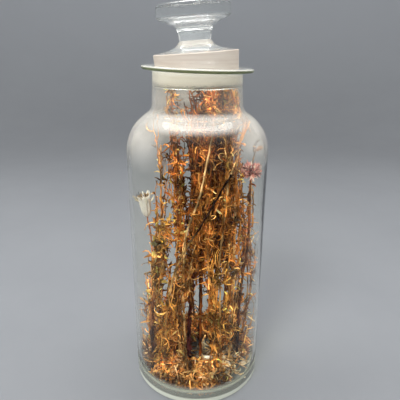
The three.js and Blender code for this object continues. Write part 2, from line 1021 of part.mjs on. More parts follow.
function paint(colour) {
  return new THREE.MeshStandardMaterial({
    color: colour,
    roughness: herbRoughness,
    metalness: 0,
    flatShading: true,
  });
}

function piece(name, solid, material) {
  const mesh = new THREE.Mesh(geometryOf(solid), material);
  mesh.name = name;
  return mesh;
}

const clearGlass = new THREE.MeshStandardMaterial({
  color: 0xdfe8e2,
  roughness: 0.05,
  metalness: 0,
  transparent: true,
  opacity: 0.3,
});
const groundGlass = new THREE.MeshStandardMaterial({
  color: 0xe6e2d6,
  roughness: 0.35,
  metalness: 0,
  transparent: true,
  opacity: 0.6,
});

for (const plant of plants) {
  const curve = stalkCurve(plant);
  take(rodBalls(curve, plant.stalk * stalkRadius, stalkSteps(curve)), plant.name);
}
for (const head of heads) {
  take(headBalls(head), head.name);
}

const part = new THREE.Group();
part.name = "apothecary_bottle";
part.add(piece("bottle", solidOf(tiltLip(lathe(bottleProfile()))), clearGlass));

// The stopper leans about the middle of its ground seat.
const seat = new THREE.Group();
seat.position.z = seatMiddle;
seat.rotation.y = -stopperTilt;
const stopper = piece("stopper", solidOf(lathe(stopperProfile())), groundGlass);
stopper.position.z = -seatMiddle;
seat.add(stopper);
part.add(seat);

const herbs = new THREE.Group();
herbs.name = "herbs";
plants.forEach((plant, index) => {
  herbs.add(piece(plant.name, grow(plant, plantSeed + index), paint(plant.colour)));
});
for (const { name, stalk, colour, build } of heads) {
  herbs.add(piece(name, inRoom(build(stalkEnd(stalk))), paint(colour)));
}
litter().forEach((solid, index) => {
  herbs.add(piece(heaps[index].name, solid, paint(heaps[index].colour)));
});
part.add(herbs);

export default part;
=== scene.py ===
import math

import bpy
import numpy as np
from mathutils import Euler, Matrix, Vector


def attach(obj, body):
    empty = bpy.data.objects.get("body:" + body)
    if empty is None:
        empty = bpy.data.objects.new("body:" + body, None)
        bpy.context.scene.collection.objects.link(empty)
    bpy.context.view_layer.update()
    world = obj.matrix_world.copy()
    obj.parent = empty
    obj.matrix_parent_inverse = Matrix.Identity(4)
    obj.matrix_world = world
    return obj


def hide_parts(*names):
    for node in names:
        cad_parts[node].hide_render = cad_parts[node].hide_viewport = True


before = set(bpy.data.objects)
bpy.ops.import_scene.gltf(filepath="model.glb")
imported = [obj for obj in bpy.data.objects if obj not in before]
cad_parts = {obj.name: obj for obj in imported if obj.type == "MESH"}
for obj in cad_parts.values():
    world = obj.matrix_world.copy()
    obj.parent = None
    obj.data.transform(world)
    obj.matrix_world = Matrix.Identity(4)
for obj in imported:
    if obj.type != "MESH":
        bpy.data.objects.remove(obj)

MM = 0.001
TINY = 1e-6
FULL_TURN = 2 * math.pi
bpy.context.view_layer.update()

# Bottle
BODY_RADIUS = 51
BODY_WALL = 2.6
BODY_TOP = 188
WALL_FOOT = 12
INNER_WALL_FOOT = 24
HEEL_RADIUS = 3.2
INNER_HEEL_RADIUS = 9
FLOOR_THICKNESS = 5.5
FOOT_RING_WIDTH = 6.8
PUSH_UP = 2.4
SHOULDER_SLOPE = math.radians(31)
NECK_FILLET_RADIUS = 8.5
NECK_HEIGHT = 24.1
NECK_FLARE = 0.8
NECK_WALL = 2.2
SEAT_WALL = 1.85
LIP_REACH = 7.4
LIP_THICKNESS = 2.6
LIP_FILLET = 2
LIP_TILT = math.radians(1.8)
LIP_TILT_REACH = 6
MOUTH_CHAMFER = 0.5

# Ground seat and stopper
SEAT_DEPTH = 12.5
SEAT_STEP = 0.5
SEAT_CLEARANCE = 0.3
PLUG_RADIUS = 28.4
PLUG_TAPER = 0.062
PLUG_DEPTH = 11
PLUG_RISE = 9.3
PLUG_EDGE = 0.6
PLUG_WALL = 6.7
PLUG_ROOF = 5.3
HOLLOW_DRAFT = 1.5
HOLLOW_CORNER_RADIUS = 3.5
STOPPER_TILT = math.radians(4.2)
COLLAR_RADIUS = 17
COLLAR_HEIGHT = 2.4
FLARE_HEIGHT = 5
STEM_RADIUS = 10.5
STEM_HEIGHT = 6.2
BOLT_RADIUS = 12.4
BOLT_HEIGHT = 2
BOLT_EDGE = 0.7
KNOB_FLARE_HEIGHT = 5.6
KNOB_RADIUS = 24.6
KNOB_HEIGHT = 8.4
KNOB_EDGE = 1.1
GLASS_SIDES = 144

# Sizes that follow from those
FOOT_INNER_RADIUS = BODY_RADIUS - HEEL_RADIUS - FOOT_RING_WIDTH
TILT_SINE, TILT_COSINE = math.sin(STOPPER_TILT), math.cos(STOPPER_TILT)
TILT_ALLOWANCE = PLUG_DEPTH / 2 * TILT_SINE + PLUG_RADIUS * (1 / TILT_COSINE - 1)
MOUTH_RADIUS = PLUG_RADIUS + SEAT_CLEARANCE + TILT_ALLOWANCE
NECK_TOP_RADIUS = MOUTH_RADIUS + SEAT_WALL
NECK_FOOT_RADIUS = NECK_TOP_RADIUS + NECK_FLARE
LIP_RADIUS = NECK_TOP_RADIUS + LIP_REACH
SHOULDER_RADIUS = (BODY_RADIUS - NECK_FOOT_RADIUS) / (
    1 - math.sin(SHOULDER_SLOPE)
) - NECK_FILLET_RADIUS
CONVEX_X = BODY_RADIUS - SHOULDER_RADIUS
CONVEX_TURN = math.pi / 2 - SHOULDER_SLOPE
CONCAVE_X = NECK_FOOT_RADIUS + NECK_FILLET_RADIUS
NECK_FOOT = BODY_TOP + (SHOULDER_RADIUS + NECK_FILLET_RADIUS) * math.cos(SHOULDER_SLOPE)
LIP_TOP = NECK_FOOT + NECK_HEIGHT
SEAT_FOOT = LIP_TOP - SEAT_DEPTH
SEAT_MIDDLE = LIP_TOP - PLUG_DEPTH / 2

# Herbs
HERB_CLEARANCE = 0.3
ROOM_FOOT = FLOOR_THICKNESS
ROOM_TOP = SEAT_MIDDLE - PLUG_DEPTH / 2 * TILT_COSINE - PLUG_RADIUS * TILT_SINE - HERB_CLEARANCE
LITTER_DEPTH = 14

# The photograph's camera, with its focal length in pixels of the picture
PICTURE_SIDE = 400
SENSOR_WIDTH = 36
FOCAL_LENGTH = 418.5
CAMERA_PLACE = (2.1, -298.7, 258.8)
CAMERA_DOWN = math.radians(20.16)
CAMERA_ROLL = math.radians(0.282)


# Small sums

SPLINE_STEPS = 24  # between two of a spline's points


def linear(code):
    """A colour from its six hexadecimal digits, as the shaders count it."""
    parts = np.array([int(code[i : i + 2], 16) / 255 for i in (0, 2, 4)])
    return np.where(parts <= 0.04045, parts / 12.92, ((parts + 0.055) / 1.055) ** 2.4)


def unit(vectors):
    vectors = np.asarray(vectors, float)
    return vectors / np.maximum(np.linalg.norm(vectors, axis=-1, keepdims=True), 1e-9)


def spline(points, steps):
    """Centripetal curve through points, with evenly spaced results."""
    points = [np.array(p, float) for p in points]
    points = [2 * points[0] - points[1], *points, 2 * points[-1] - points[-2]]
    fine = []
    for p0, p1, p2, p3 in zip(points, points[1:], points[2:], points[3:]):
        a, b, c = [max(np.linalg.norm(v), TINY) ** 0.5 for v in (p1 - p0, p2 - p1, p3 - p2)]
        start = ((p1 - p0) / a - (p2 - p0) / (a + b) + (p2 - p1) / b) * b
        end = ((p2 - p1) / b - (p3 - p1) / (b + c) + (p3 - p2) / c) * b
        for t in np.linspace(0, 1, SPLINE_STEPS, endpoint=False):
            square, cube = t * t, t * t * t
            fine.append(
                (2 * cube - 3 * square + 1) * p1
                + (cube - 2 * square + t) * start
                + (3 * square - 2 * cube) * p2
                + (cube - square) * end
            )
    fine.append(points[-2])
    fine = np.array(fine)
    run = np.concatenate([[0], np.cumsum(np.linalg.norm(np.diff(fine, axis=0), axis=1))])
    where = np.linspace(0, run[-1], steps + 1)
    return np.stack([np.interp(where, run, fine[:, k]) for k in range(3)], axis=1)


# Shapes of the glass


def arc(x, z, radius, start, end, steps):
    turns = np.linspace(start, end, steps + 1)
    return [(x + radius * math.cos(a), z + radius * math.sin(a)) for a in turns]


def foot_height(radius):
    share = np.minimum(1, radius / FOOT_INNER_RADIUS)
    return PUSH_UP * (1 - share * share)


def cone(radius, height):
    """The radius at a height of the plug or the seat, from its radius at the lip's top."""
    return radius + PLUG_TAPER * (height - LIP_TOP)


def shoulder_profile(inset, neck_inset):
    fillet = NECK_FILLET_RADIUS + neck_inset
    return [
        *arc(CONVEX_X, BODY_TOP, SHOULDER_RADIUS - inset, 0, CONVEX_TURN, 16),
        *arc(CONCAVE_X, NECK_FOOT, fillet, math.pi + CONVEX_TURN, math.pi, 10),
    ]


def inner_profile(gap):
    heel_x = BODY_RADIUS - BODY_WALL - INNER_HEEL_RADIUS
    heel_z = FLOOR_THICKNESS + foot_height(heel_x)
    floor = [(r, FLOOR_THICKNESS + foot_height(r) + gap) for r in np.linspace(heel_x, 0, 9)[1:]]
    heel = arc(heel_x, heel_z + INNER_HEEL_RADIUS, INNER_HEEL_RADIUS - gap, 0, -math.pi / 2, 10)
    heights = np.linspace(BODY_TOP, INNER_WALL_FOOT, 12)[1:]
    wall = [(BODY_RADIUS - BODY_WALL - gap, z) for z in heights]
    shoulder = shoulder_profile(BODY_WALL + gap, NECK_WALL + gap)[::-1]
    return [*shoulder, *wall, *heel, *floor]


def bottle_profile():
    under = [(r, foot_height(r)) for r in np.linspace(0, FOOT_INNER_RADIUS, 7)]
    fillet_z = LIP_TOP - LIP_THICKNESS - LIP_FILLET
    lip_edge = LIP_THICKNESS / 2
    wall = [(BODY_RADIUS, z) for z in np.linspace(WALL_FOOT, BODY_TOP, 12)[:-1]]
    seat_foot_radius = cone(MOUTH_RADIUS, SEAT_FOOT)
    return [
        *under,
        *arc(BODY_RADIUS - HEEL_RADIUS, HEEL_RADIUS, HEEL_RADIUS, -math.pi / 2, 0, 8),
        *wall,
        *shoulder_profile(0, 0),
        *arc(NECK_TOP_RADIUS + LIP_FILLET, fillet_z, LIP_FILLET, math.pi, math.pi / 2, 6),
        *arc(LIP_RADIUS - lip_edge, LIP_TOP - lip_edge, lip_edge, -math.pi / 2, math.pi / 2, 10),
        (MOUTH_RADIUS + MOUTH_CHAMFER, LIP_TOP),
        (cone(MOUTH_RADIUS, LIP_TOP - MOUTH_CHAMFER), LIP_TOP - MOUTH_CHAMFER),
        (seat_foot_radius, SEAT_FOOT),
        (seat_foot_radius + SEAT_STEP, SEAT_FOOT - SEAT_STEP),
        *inner_profile(0),
    ]


def stopper_profile():
    foot = LIP_TOP - PLUG_DEPTH
    shoulder = LIP_TOP + PLUG_RISE
    hollow_top = shoulder - PLUG_ROOF
    hollow_radius = cone(PLUG_RADIUS, foot) - PLUG_WALL
    corner_x = hollow_radius - HOLLOW_DRAFT - HOLLOW_CORNER_RADIUS
    corner_z = hollow_top - HOLLOW_CORNER_RADIUS
    stem_foot = shoulder + COLLAR_HEIGHT + FLARE_HEIGHT
    stem_top = stem_foot + STEM_HEIGHT
    bolt_top = stem_top + BOLT_HEIGHT
    knob_foot = bolt_top + KNOB_FLARE_HEIGHT
    knob_top = knob_foot + KNOB_HEIGHT
    bolt_x = BOLT_RADIUS - BOLT_EDGE
    knob_x = KNOB_RADIUS - KNOB_EDGE
    bell = [
        (cone(PLUG_RADIUS, shoulder) - PLUG_EDGE, shoulder),
        (COLLAR_RADIUS, shoulder + COLLAR_HEIGHT),
        ((COLLAR_RADIUS + STEM_RADIUS) / 2 - PLUG_EDGE, stem_foot - FLARE_HEIGHT / 2 - PLUG_EDGE),
        (STEM_RADIUS, stem_foot),
    ]
    flare = [
        (bolt_x, bolt_top),
        ((BOLT_RADIUS + KNOB_RADIUS) / 2, bolt_top + KNOB_FLARE_HEIGHT / 2 + PLUG_EDGE),
        (knob_x, knob_foot - KNOB_EDGE / 2),
    ]
    return [
        (0, hollow_top),
        *arc(corner_x, corner_z, HOLLOW_CORNER_RADIUS, math.pi / 2, 0, 6),
        (hollow_radius, foot),
        (cone(PLUG_RADIUS, foot) - PLUG_EDGE, foot),
        (cone(PLUG_RADIUS, foot + PLUG_EDGE), foot + PLUG_EDGE),
        (cone(PLUG_RADIUS, shoulder - PLUG_EDGE), shoulder - PLUG_EDGE),
        *curve(bell, 18),
        *arc(bolt_x, stem_top + BOLT_EDGE, BOLT_EDGE, -math.pi / 2, 0, 4),
        *arc(bolt_x, bolt_top - BOLT_EDGE, BOLT_EDGE, 0, math.pi / 2, 4)[:-1],
        *curve(flare, 12),
        *arc(knob_x, knob_foot + KNOB_EDGE, KNOB_EDGE, -math.pi / 3, 0, 4),
        *arc(knob_x, knob_top - KNOB_EDGE, KNOB_EDGE, 0, math.pi / 2, 5),
        (0, knob_top),
    ]


def curve(points, steps):
    """A smooth outline through a few points."""
    return [(x, z) for x, z, _ in spline([(x, z, 0) for x, z in points], steps)]


def room_radius(height):
    """Free radius inside the bottle at a height."""
    z = min(max(height, ROOM_OUTLINE[0][1]), ROOM_TOP)
    radius = 0
    for (r0, z0), (r1, z1) in zip(ROOM_OUTLINE, ROOM_OUTLINE[1:]):
        if z0 <= z <= z1 and z1 > z0:
            radius = max(radius, r0 + (r1 - r0) * (z - z0) / (z1 - z0))
    return radius


ROOM_OUTLINE = [
    *inner_profile(HERB_CLEARANCE)[::-1],
    (cone(MOUTH_RADIUS, SEAT_FOOT) - HERB_CLEARANCE, ROOM_TOP),
]
ROOM_STEPS = np.linspace(ROOM_FOOT, ROOM_TOP, 400)
ROOM_RADII = np.array([room_radius(z) for z in ROOM_STEPS])


# Meshes

SHARP = 50  # degrees between faces whose edge shows
# Shade turns colours redder: the power of it that each channel takes
SHADE_TURN = np.array([0.75, 1.05, 1.25])


class Shape:
    """Points, faces, a colour at each point and a material number for each face."""

    def __init__(self):
        self.points = []
        self.faces = []
        self.colours = []
        self.slots = []
        self.count = 0

    def add(self, points, faces, colours):
        points = np.asarray(points, float).reshape(-1, 3)
        colours = np.broadcast_to(np.asarray(colours, float), (len(points), 3))
        self.points.append(points)
        self.colours.append(colours)
        self.faces.extend([tuple(int(i) + self.count for i in face) for face in faces])
        self.slots.extend([0] * len(faces))
        self.count += len(points)

    def keep_inside(self):
        """Pushes every point into the room, as leaves lie flat against the glass."""
        points = np.concatenate(self.points)
        points[:, 2] = np.clip(points[:, 2], ROOM_FOOT, ROOM_TOP)
        radius = np.hypot(points[:, 0], points[:, 1])
        room = np.interp(points[:, 2], ROOM_STEPS, ROOM_RADII)
        floor = FLOOR_THICKNESS + foot_height(radius)
        points[:, 2] = np.maximum(points[:, 2], floor + HERB_CLEARANCE)
        points[:, :2] *= np.minimum(1, room / np.maximum(radius, TINY))[:, None]
        self.points = [points]

    # Painted shade: colours multiplied by a tone, turning redder where darker
    def paint_shade(self, tone):
        self.colours = [np.concatenate(self.colours) * tone[:, None] ** SHADE_TURN]

    def paint_shade_inside(self):
        """Painted shade and light: stems and leaves in the thick of the herbs are darker than those
        at the glass, which are lighter.
        """
        points = np.concatenate(self.points)
        room = np.interp(points[:, 2], ROOM_STEPS, ROOM_RADII)
        share = np.hypot(points[:, 0], points[:, 1]) / room
        self.paint_shade(np.interp(share, (0, 0.28, 0.55, 0.95), (0.28, 0.58, 1, 1.3)))

    def paint_shade_below(self, height):
        """Painted shade: litter is darker underneath, up to a height."""
        heights = np.concatenate(self.points)[:, 2]
        self.paint_shade(np.interp(heights, (ROOM_FOOT + 1, height), (0.16, 1.05)))

    def mesh(self, name, materials, sharp=SHARP):
        mesh = bpy.data.meshes.new(name)
        mesh.from_pydata((np.concatenate(self.points) * MM).tolist(), [], self.faces)
        for material in materials:
            mesh.materials.append(material)
        mesh.polygons.foreach_set("material_index", self.slots)
        colour = mesh.color_attributes.new("tint", "FLOAT_COLOR", "POINT")
        rgba = np.concatenate([np.concatenate(self.colours), np.ones((self.count, 1))], axis=1)
        colour.data.foreach_set("color", rgba.astype(np.float32).ravel())
        mesh.shade_smooth()
        mesh.set_sharp_from_angle(angle=math.radians(sharp))
        mesh.update()
        return put(bpy.data.objects.new(name, mesh))


def lathe(profile, slots, sides=GLASS_SIDES):
    """A body turned about Z from a profile that starts on the axis."""
    shape = Shape()
    turns = np.linspace(0, FULL_TURN, sides, endpoint=False)
    rings, points = [], []
    for radius, height in profile:
        if radius < TINY:
            rings.append([len(points)] * sides)
            points.append((0, 0, height))
        else:
            rings.append(list(range(len(points), len(points) + sides)))
            points.extend((radius * math.cos(a), radius * math.sin(a), height) for a in turns)
    shape.add(points, [], 1)
    for low, high, slot in zip(rings, rings[1:], slots):
        for i in range(sides):
            j = (i + 1) % sides
            face = list(dict.fromkeys((low[i], low[j], high[j], high[i])))
            if len(face) > 2:
                shape.faces.append(tuple(face))
                shape.slots.append(slot)
    return shape


def make_piece(shape, name, node, materials, sharp=SHARP, body="bottle"):
    """A piece that stands for a node."""
    item = shape.mesh(name, materials, sharp)
    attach(item, body)
    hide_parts(node)


def make_dry(shape, node, skin):
    shape.keep_inside()
    make_piece(shape, node + "_dry", node, [skin])


def side_faces(rows, sides):
    """Faces of a skin over rows of points that go round a line, with a cap at each end."""
    faces = []
    last = (rows - 1) * sides
    for row in range(0, last, sides):
        for k in range(sides):
            m = (k + 1) % sides
            faces.append((row + k, row + m, row + sides + m, row + sides + k))
    return [*faces, tuple(range(sides))[::-1], tuple(range(last, last + sides))]


def ring(centre, radius, one, two, sides):
    """Points round a centre, from two directions that are square to each other."""
    turns = [FULL_TURN * k / sides for k in range(sides)]
    return [centre + radius * (math.cos(a) * one + math.sin(a) * two) for a in turns]


# A leaf's rows from root to tip, as shares of its length, and its breadth there. Each row has an
# edge, the face, the other edge and the back.
LEAF_RUN = np.array([0, 0.16, 0.36, 0.58, 0.8, 1])
LEAF_BREADTH = np.array([0.1, 0.68, 1, 0.86, 0.5, 0.06])
LEAF_SIDES = 4
LEAF_FACES = np.array(side_faces(len(LEAF_RUN), LEAF_SIDES))
LEAF_TWIST = 1.3
NO_BEND = 1e-3


def leaves(shape, rng, roots, along, length, breadth, bend, colours, thickness=0.4):
    """Curled dry leaves. Each runs from its root, bends, twists and folds along its middle."""
    roots, along = np.asarray(roots, float), unit(along)
    count = len(roots)
    face = unit(np.cross(along, unit(rng.normal(size=(count, 3)))))
    across = np.cross(along, face)
    run = LEAF_RUN[None, :]
    turn = (bend[:, None] + NO_BEND) * run
    reach = length[:, None] / (bend[:, None] + NO_BEND)
    middle = (
        roots[:, None]
        + along[:, None] * (reach * np.sin(turn))[..., None]
        + face[:, None] * (reach * (1 - np.cos(turn)))[..., None]
    )
    up = -np.sin(turn)[..., None] * along[:, None] + np.cos(turn)[..., None] * face[:, None]
    twist = (rng.normal(size=(count, 1)) * LEAF_TWIST * run)[..., None]
    side = across[:, None] * np.cos(twist) + up * np.sin(twist)
    up = up * np.cos(twist) - across[:, None] * np.sin(twist)
    ragged = rng.uniform(0.7, 1.25, (2, count, len(LEAF_RUN)))
    half = breadth[:, None] / 2 * LEAF_BREADTH[None] * ragged
    fold = rng.uniform(0.2, 1.2, (count, 1))
    flat, rise = (half * np.cos(fold))[..., None], (half * np.sin(fold))[..., None]
    left = middle + side * flat[0] + up * rise[0]
    right = middle - side * flat[1] + up * rise[1]
    thick = up * (thickness / 2)
    points = np.stack([left, middle + thick, right, middle - thick], axis=2)
    # Both edges and the tip are paler, and the fold is darker with painted shade in its crease
    shade = 1 + rng.normal(size=(count, len(LEAF_RUN), LEAF_SIDES, 1)) * 0.1
    shade[:, :, 0::2] *= 1.12
    shade[:, :, 1] *= 0.62
    shade[:, -2:] *= 1.15
    tints = np.clip(np.asarray(colours)[:, None, None, :] * shade, 0.004, 1)
    size = LEAF_SIDES * len(LEAF_RUN)
    faces = (LEAF_FACES + size * np.arange(count)[:, None, None]).reshape(-1, LEAF_SIDES)
    shape.add(points.reshape(-1, 3), faces, tints.reshape(-1, 3))


PALETTE_PULL = 0.35  # of a palette's mean in each colour drawn from it
WARMTH = (1.05, 1, 0.9)
PALING = (0.06, 0.065, 0.042)  # added to light colours


def pick(rng, palette, count):
    """Colours drawn from a palette, each a little lighter and paler, or darker."""
    tones = np.array([linear(code) for code in palette])
    drawn = tones[rng.integers(len(palette), size=count)]
    chosen = (1 - PALETTE_PULL) * drawn + PALETTE_PULL * tones.mean(axis=0)
    light = np.exp(rng.normal(size=(count, 1)) * 0.5 + 0.08)
    return chosen * light * WARMTH + np.clip(light - 1, 0, 1.5) * PALING


# Materials


class Paint:
    """The nodes of a material or a world. Most methods take sockets, numbers and colours, add
    nodes, and give back the socket of their result."""

    def __init__(self, owner):
        owner.use_nodes = True
        self.owner = owner
        self.tree = owner.node_tree

    def feed(self, socket, value):
        if isinstance(value, bpy.types.NodeSocket):
            self.tree.links.new(value, socket)
        else:
            socket.default_value = (*value, 1) if socket.type == "RGBA" else value

    def add(self, kind, inputs=(), **settings):
        node = self.tree.nodes.new("ShaderNode" + kind)
        for key, value in settings.items():
            setattr(node, key, value)
        for key, value in dict(inputs).items():
            self.feed(node.inputs[key], value)
        return node

    def math(self, operation, *values):
        return self.add("Math", enumerate(values), operation=operation).outputs["Value"]

    def vector(self, operation, *values, result="Vector"):
        node = self.add("VectorMath", enumerate(values), operation=operation)
        return node.outputs[result]

    def times(self, first, second):
        return self.math("MULTIPLY", first, second)

    def most(self, first, *others):
        for other in others:
            first = self.math("MAXIMUM", first, other)
        return first

    def span(self, value, low, high, from_low=0.3, from_high=0.7):
        """A value stretched from one range to another."""
        start = {"Value": value, "From Min": from_low, "From Max": from_high}
        return self.add("MapRange", {**start, "To Min": low, "To Max": high}).outputs["Result"]

    def share(self, value, low, high):
        """Between two numbers, by a value from 0 to 1."""
        return self.span(value, low, high, 0, 1)

    def blend(self, share, first, second):
        """A colour between two others."""
        node = self.add("Mix", {"Factor": share}, data_type="RGBA")
        for key, value in (("A", first), ("B", second)):
            self.feed(next(s for s in node.inputs if s.name == key and s.type == "RGBA"), value)
        return next(s for s in node.outputs if s.type == "RGBA")

    def place(self, kind="Object"):
        return self.add("TexCoord").outputs[kind]

    def along(self, axis, kind="Object"):
        return self.add("SeparateXYZ", {"Vector": self.place(kind)}).outputs[axis]

    def noise(self, scale, detail=4, roughness=0.6, stretch=(1, 1, 1)):
        """Noise laid out in metres over the object's own coordinates."""
        where = self.add("Mapping", {"Vector": self.place(), "Scale": stretch}).outputs["Vector"]
        grain = {"Scale": scale, "Detail": detail, "Roughness": roughness}
        return self.add("TexNoise", {"Vector": where, **grain}).outputs["Fac"]

    def band(self, low, high, soft, lean=0):
        """1 between two heights in millimetres, fading to 0 outside. Lean is their fall."""
        level = self.vector("DOT_PRODUCT", self.place(), (lean, 0, 1), result="Value")
        rise = self.span(level, 0, 1, (low - soft) * MM, low * MM)
        return self.times(rise, self.span(level, 1, 0, high * MM, (high + soft) * MM))

    def outside(self, radius, soft):
        """1 outside a radius in millimetres, and 0 nearer to the axis by more than soft."""
        flat = self.vector("MULTIPLY", self.place(), (1, 1, 0))
        size = self.vector("LENGTH", flat, result="Value")
        return self.span(size, 0, 1, (radius - soft) * MM, radius * MM)


class Skin(Paint):
    """A new material."""

    def __init__(self, name):
        super().__init__(bpy.data.materials.new(name))
        self.shader = self.tree.nodes["Principled BSDF"]
        self.output = self.tree.nodes["Material Output"]

    def set(self, key, value):
        self.feed(self.shader.inputs[key], value)

    def bump(self, height, strength, distance):
        inputs = {"Height": height, "Strength": strength, "Distance": distance}
        self.set("Normal", self.add("Bump", inputs).outputs["Normal"])

    def pass_lamps(self, tint):
        """Lets lamp light through, so that what is behind the glass is lit."""
        shadow = self.add("LightPath").outputs["Is Shadow Ray"]
        clear = self.add("BsdfTransparent", {"Color": tint}).outputs["BSDF"]
        mix = self.add("MixShader", {"Fac": shadow, 1: self.shader.outputs["BSDF"], 2: clear})
        self.feed(self.output.inputs["Surface"], mix.outputs["Shader"])


BOTTLE_IOR = 1.46
STOPPER_IOR = 1.5


def clear_glass():
    """Clear glass, olive in its depth and dark green at the rim of the lip, with a milky haze on
    the shoulders and the neck, mostly behind and at the sides: partly a film of age, partly a
    painted reflection. The heel is thick; painted light hazes it and the foot ring white and tints
    the heel warm."""
    glass = Skin("clear_glass")
    glass.set("IOR", BOTTLE_IOR)
    lean, lip_foot = math.tan(LIP_TILT), LIP_TOP - LIP_THICKNESS - 1
    lip = glass.band(lip_foot, LIP_TOP + 5, 1, lean)
    rim = glass.band(lip_foot, LIP_TOP - 1, 0.4, lean)
    rim = glass.times(rim, glass.outside(LIP_RADIUS - 2, 0.8))
    # Painted light: the heel and the foot ring are hazed white and the heel tinted warm, as if
    # their thick glass gathered light
    heel = glass.times(glass.band(-1, 12, 5), glass.outside(BODY_RADIUS - BODY_WALL, 4))
    foot = glass.times(glass.band(1, 5.5, 1.5), glass.outside(BODY_RADIUS - 1, 1))
    # Painted reflection, partly a real film of age: high on the glass it is tinted warm and hazed
    # milky, mostly behind and at the sides
    high = glass.band(198, 228, 18)
    plain = glass.blend(high, (0.97, 0.97, 0.945), (0.985, 0.955, 0.905))
    plain = glass.blend(rim, plain, (0.05, 0.07, 0.025))
    glass.set("Base Color", glass.blend(heel, plain, (0.97, 1, 0.85)))
    bloom_and_painted_reflection = glass.times(high, glass.span(glass.noise(26), 0.1, 0.33))
    back = glass.span(glass.along("Y"), 0.03, 1, -35 * MM, 20 * MM)
    sides = glass.span(glass.math("ABSOLUTE", glass.along("X")), 0, 1, 20 * MM, 40 * MM)
    haze = glass.most(
        glass.times(bloom_and_painted_reflection, glass.most(back, sides)),
        glass.times(heel, 0.25),
        glass.times(foot, 0.7),
        # Painted reflection: a milky ring high on the shoulder, where the overhead softbox shows
        glass.times(glass.band(209, 216, 3), 0.2),
        glass.times(lip, 0.25),
    )
    glass.set("Transmission Weight", glass.share(haze, 1, 0))
    glass.set("Specular Tint", glass.share(glass.band(210, 300, 8), 0.12, 1))
    glass.set("Roughness", glass.span(glass.noise(22), 0, 0.03, 0.42, 0.75))
    glass.bump(glass.noise(60, 2, 0.5, (1, 1, 0.35)), 0.12, 0.0006)
    glass.pass_lamps((0.96, 0.96, 0.94))
    depth = glass.add("VolumeAbsorption", {"Color": (0.72, 0.74, 0.36), "Density": 12})
    glass.feed(glass.output.inputs["Volume"], depth.outputs["Volume"])
    return glass.owner


def knob_glass():
    glass = Skin("knob_glass")
    glass.set("IOR", STOPPER_IOR)
    milky = glass.band(LIP_TOP, LIP_TOP + 27, 5)
    glass.set("Transmission Weight", glass.share(milky, 0.97, 0.9))
    mottle = glass.span(glass.noise(30), 0, 1)
    glass.set("Base Color", glass.blend(mottle, (0.97, 0.985, 0.975), (0.93, 0.955, 0.94)))
    glass.set("Roughness", glass.span(glass.noise(90), 0, 0.03))
    glass.bump(glass.noise(160, 3, 0.6, (0.3, 0.3, 1)), 0.3, 0.001)
    glass.pass_lamps((0.95, 0.97, 0.96))
    return glass.owner


def ground_glass(name, light, dark, foot):
    """Ground glass, worn clearer towards a height where the grinding ends."""
    glass = Skin(name)
    glass.set("IOR", STOPPER_IOR)
    ground = glass.band(foot + 4, LIP_TOP + 90, 4)
    glass.set("Transmission Weight", glass.share(ground, 0.9, 0.35))
    rings = glass.span(glass.noise(500, 3, 0.6, (0.05, 0.05, 1)), 0, 1)
    glass.set("Base Color", glass.blend(rings, light, dark))
    grain = glass.span(glass.noise(1400), 0.42, 0.62)
    glass.set("Roughness", glass.times(grain, glass.share(ground, 0.15, 1)))
    glass.bump(glass.noise(2600, 3), 0.25, 0.0002)
    glass.pass_lamps((0.6, 0.58, 0.53))
    return glass.owner


def plant_skin(name, grain, roughness, shine, fold, patchy):
    """Dry plant tissue: the tint painted on the mesh, broken up by fibres, spots and, in wider
    patches, older and fresher plants."""
    skin = Skin(name)
    tint = skin.add("Attribute", attribute_name="tint").outputs["Color"]
    fibres = skin.span(skin.noise(grain, 5, 0.65, (1, 1, 0.25)), 0, 1, 0.35, 0.65)
    mottled = skin.blend(fibres, skin.vector("MULTIPLY", tint, fold), tint)
    light = skin.vector("MULTIPLY_ADD", tint, (1.15, 1.15, 1.1), (0.05, 0.035, 0.015))
    spots = skin.span(skin.noise(grain * 0.3, 2), 0, 0.5, 0.55, 0.72)
    age = skin.span(skin.noise(75, 2), 1 - patchy, 1 + patchy, 0.4, 0.6)
    inputs = {0: skin.blend(spots, mottled, light), "Scale": age}
    patches = skin.add("VectorMath", inputs, operation="SCALE")
    skin.set("Base Color", patches.outputs["Vector"])
    skin.set("Roughness", skin.share(fibres, roughness, roughness + 0.2))
    skin.set("Specular IOR Level", shine)
    skin.bump(skin.noise(grain * 1.5, 4, 0.6, (1, 1, 0.3)), 0.5, 0.0003)
    return skin.owner


PLUG_FOOT = LIP_TOP - PLUG_DEPTH
CLEAR = clear_glass()
KNOB = knob_glass()
GROUND_SEAT = ground_glass("ground_seat", (1, 0.97, 0.9), (0.95, 0.91, 0.81), SEAT_FOOT)
GROUND_PLUG = ground_glass("ground_plug", (0.76, 0.69, 0.61), (0.62, 0.53, 0.45), PLUG_FOOT - 4)
LEAF_SKIN = plant_skin("dry_leaf", 520, 0.68, 0.15, (0.56, 0.39, 0.26), 0.7)
PETAL_SKIN = plant_skin("dry_petal", 900, 0.75, 0.12, (0.92, 0.89, 0.85), 0)


# Stage, lights and camera. Their lengths are in metres but for the stage's and the camera's place.

FLOOR_REACH = 800
WALL_BEND = 1000
WALL_TOP = 1500
STAGE_SIDES = 96
FLOOR_TONES = (0.26, 0.27, 0.285), (0.24, 0.25, 0.265)
WALL_PAINTED_LIGHT_TONE = (0.72, 0.75, 0.79)
LAMP_AIM = Vector((0, 0, 0.14))
HIDDEN_LAMPS = (
    ("key", (-0.35, -0.6, 0.95), (0.3, 0.3), 8),
    ("left", (-0.85, 0.15, 0.66), (0.6, 0.4), 3.4),
    ("right", (0.85, 0.15, 0.66), (0.6, 0.4), 3.4),
    ("front", (0, -1.1, 0.7), (1.2, 0.6), 5.6),
)
ROOM_TONE = (1, 0.99, 0.97)
ROOM_LIGHT = 0.13


def put(item):
    bpy.context.scene.collection.objects.link(item)
    return item


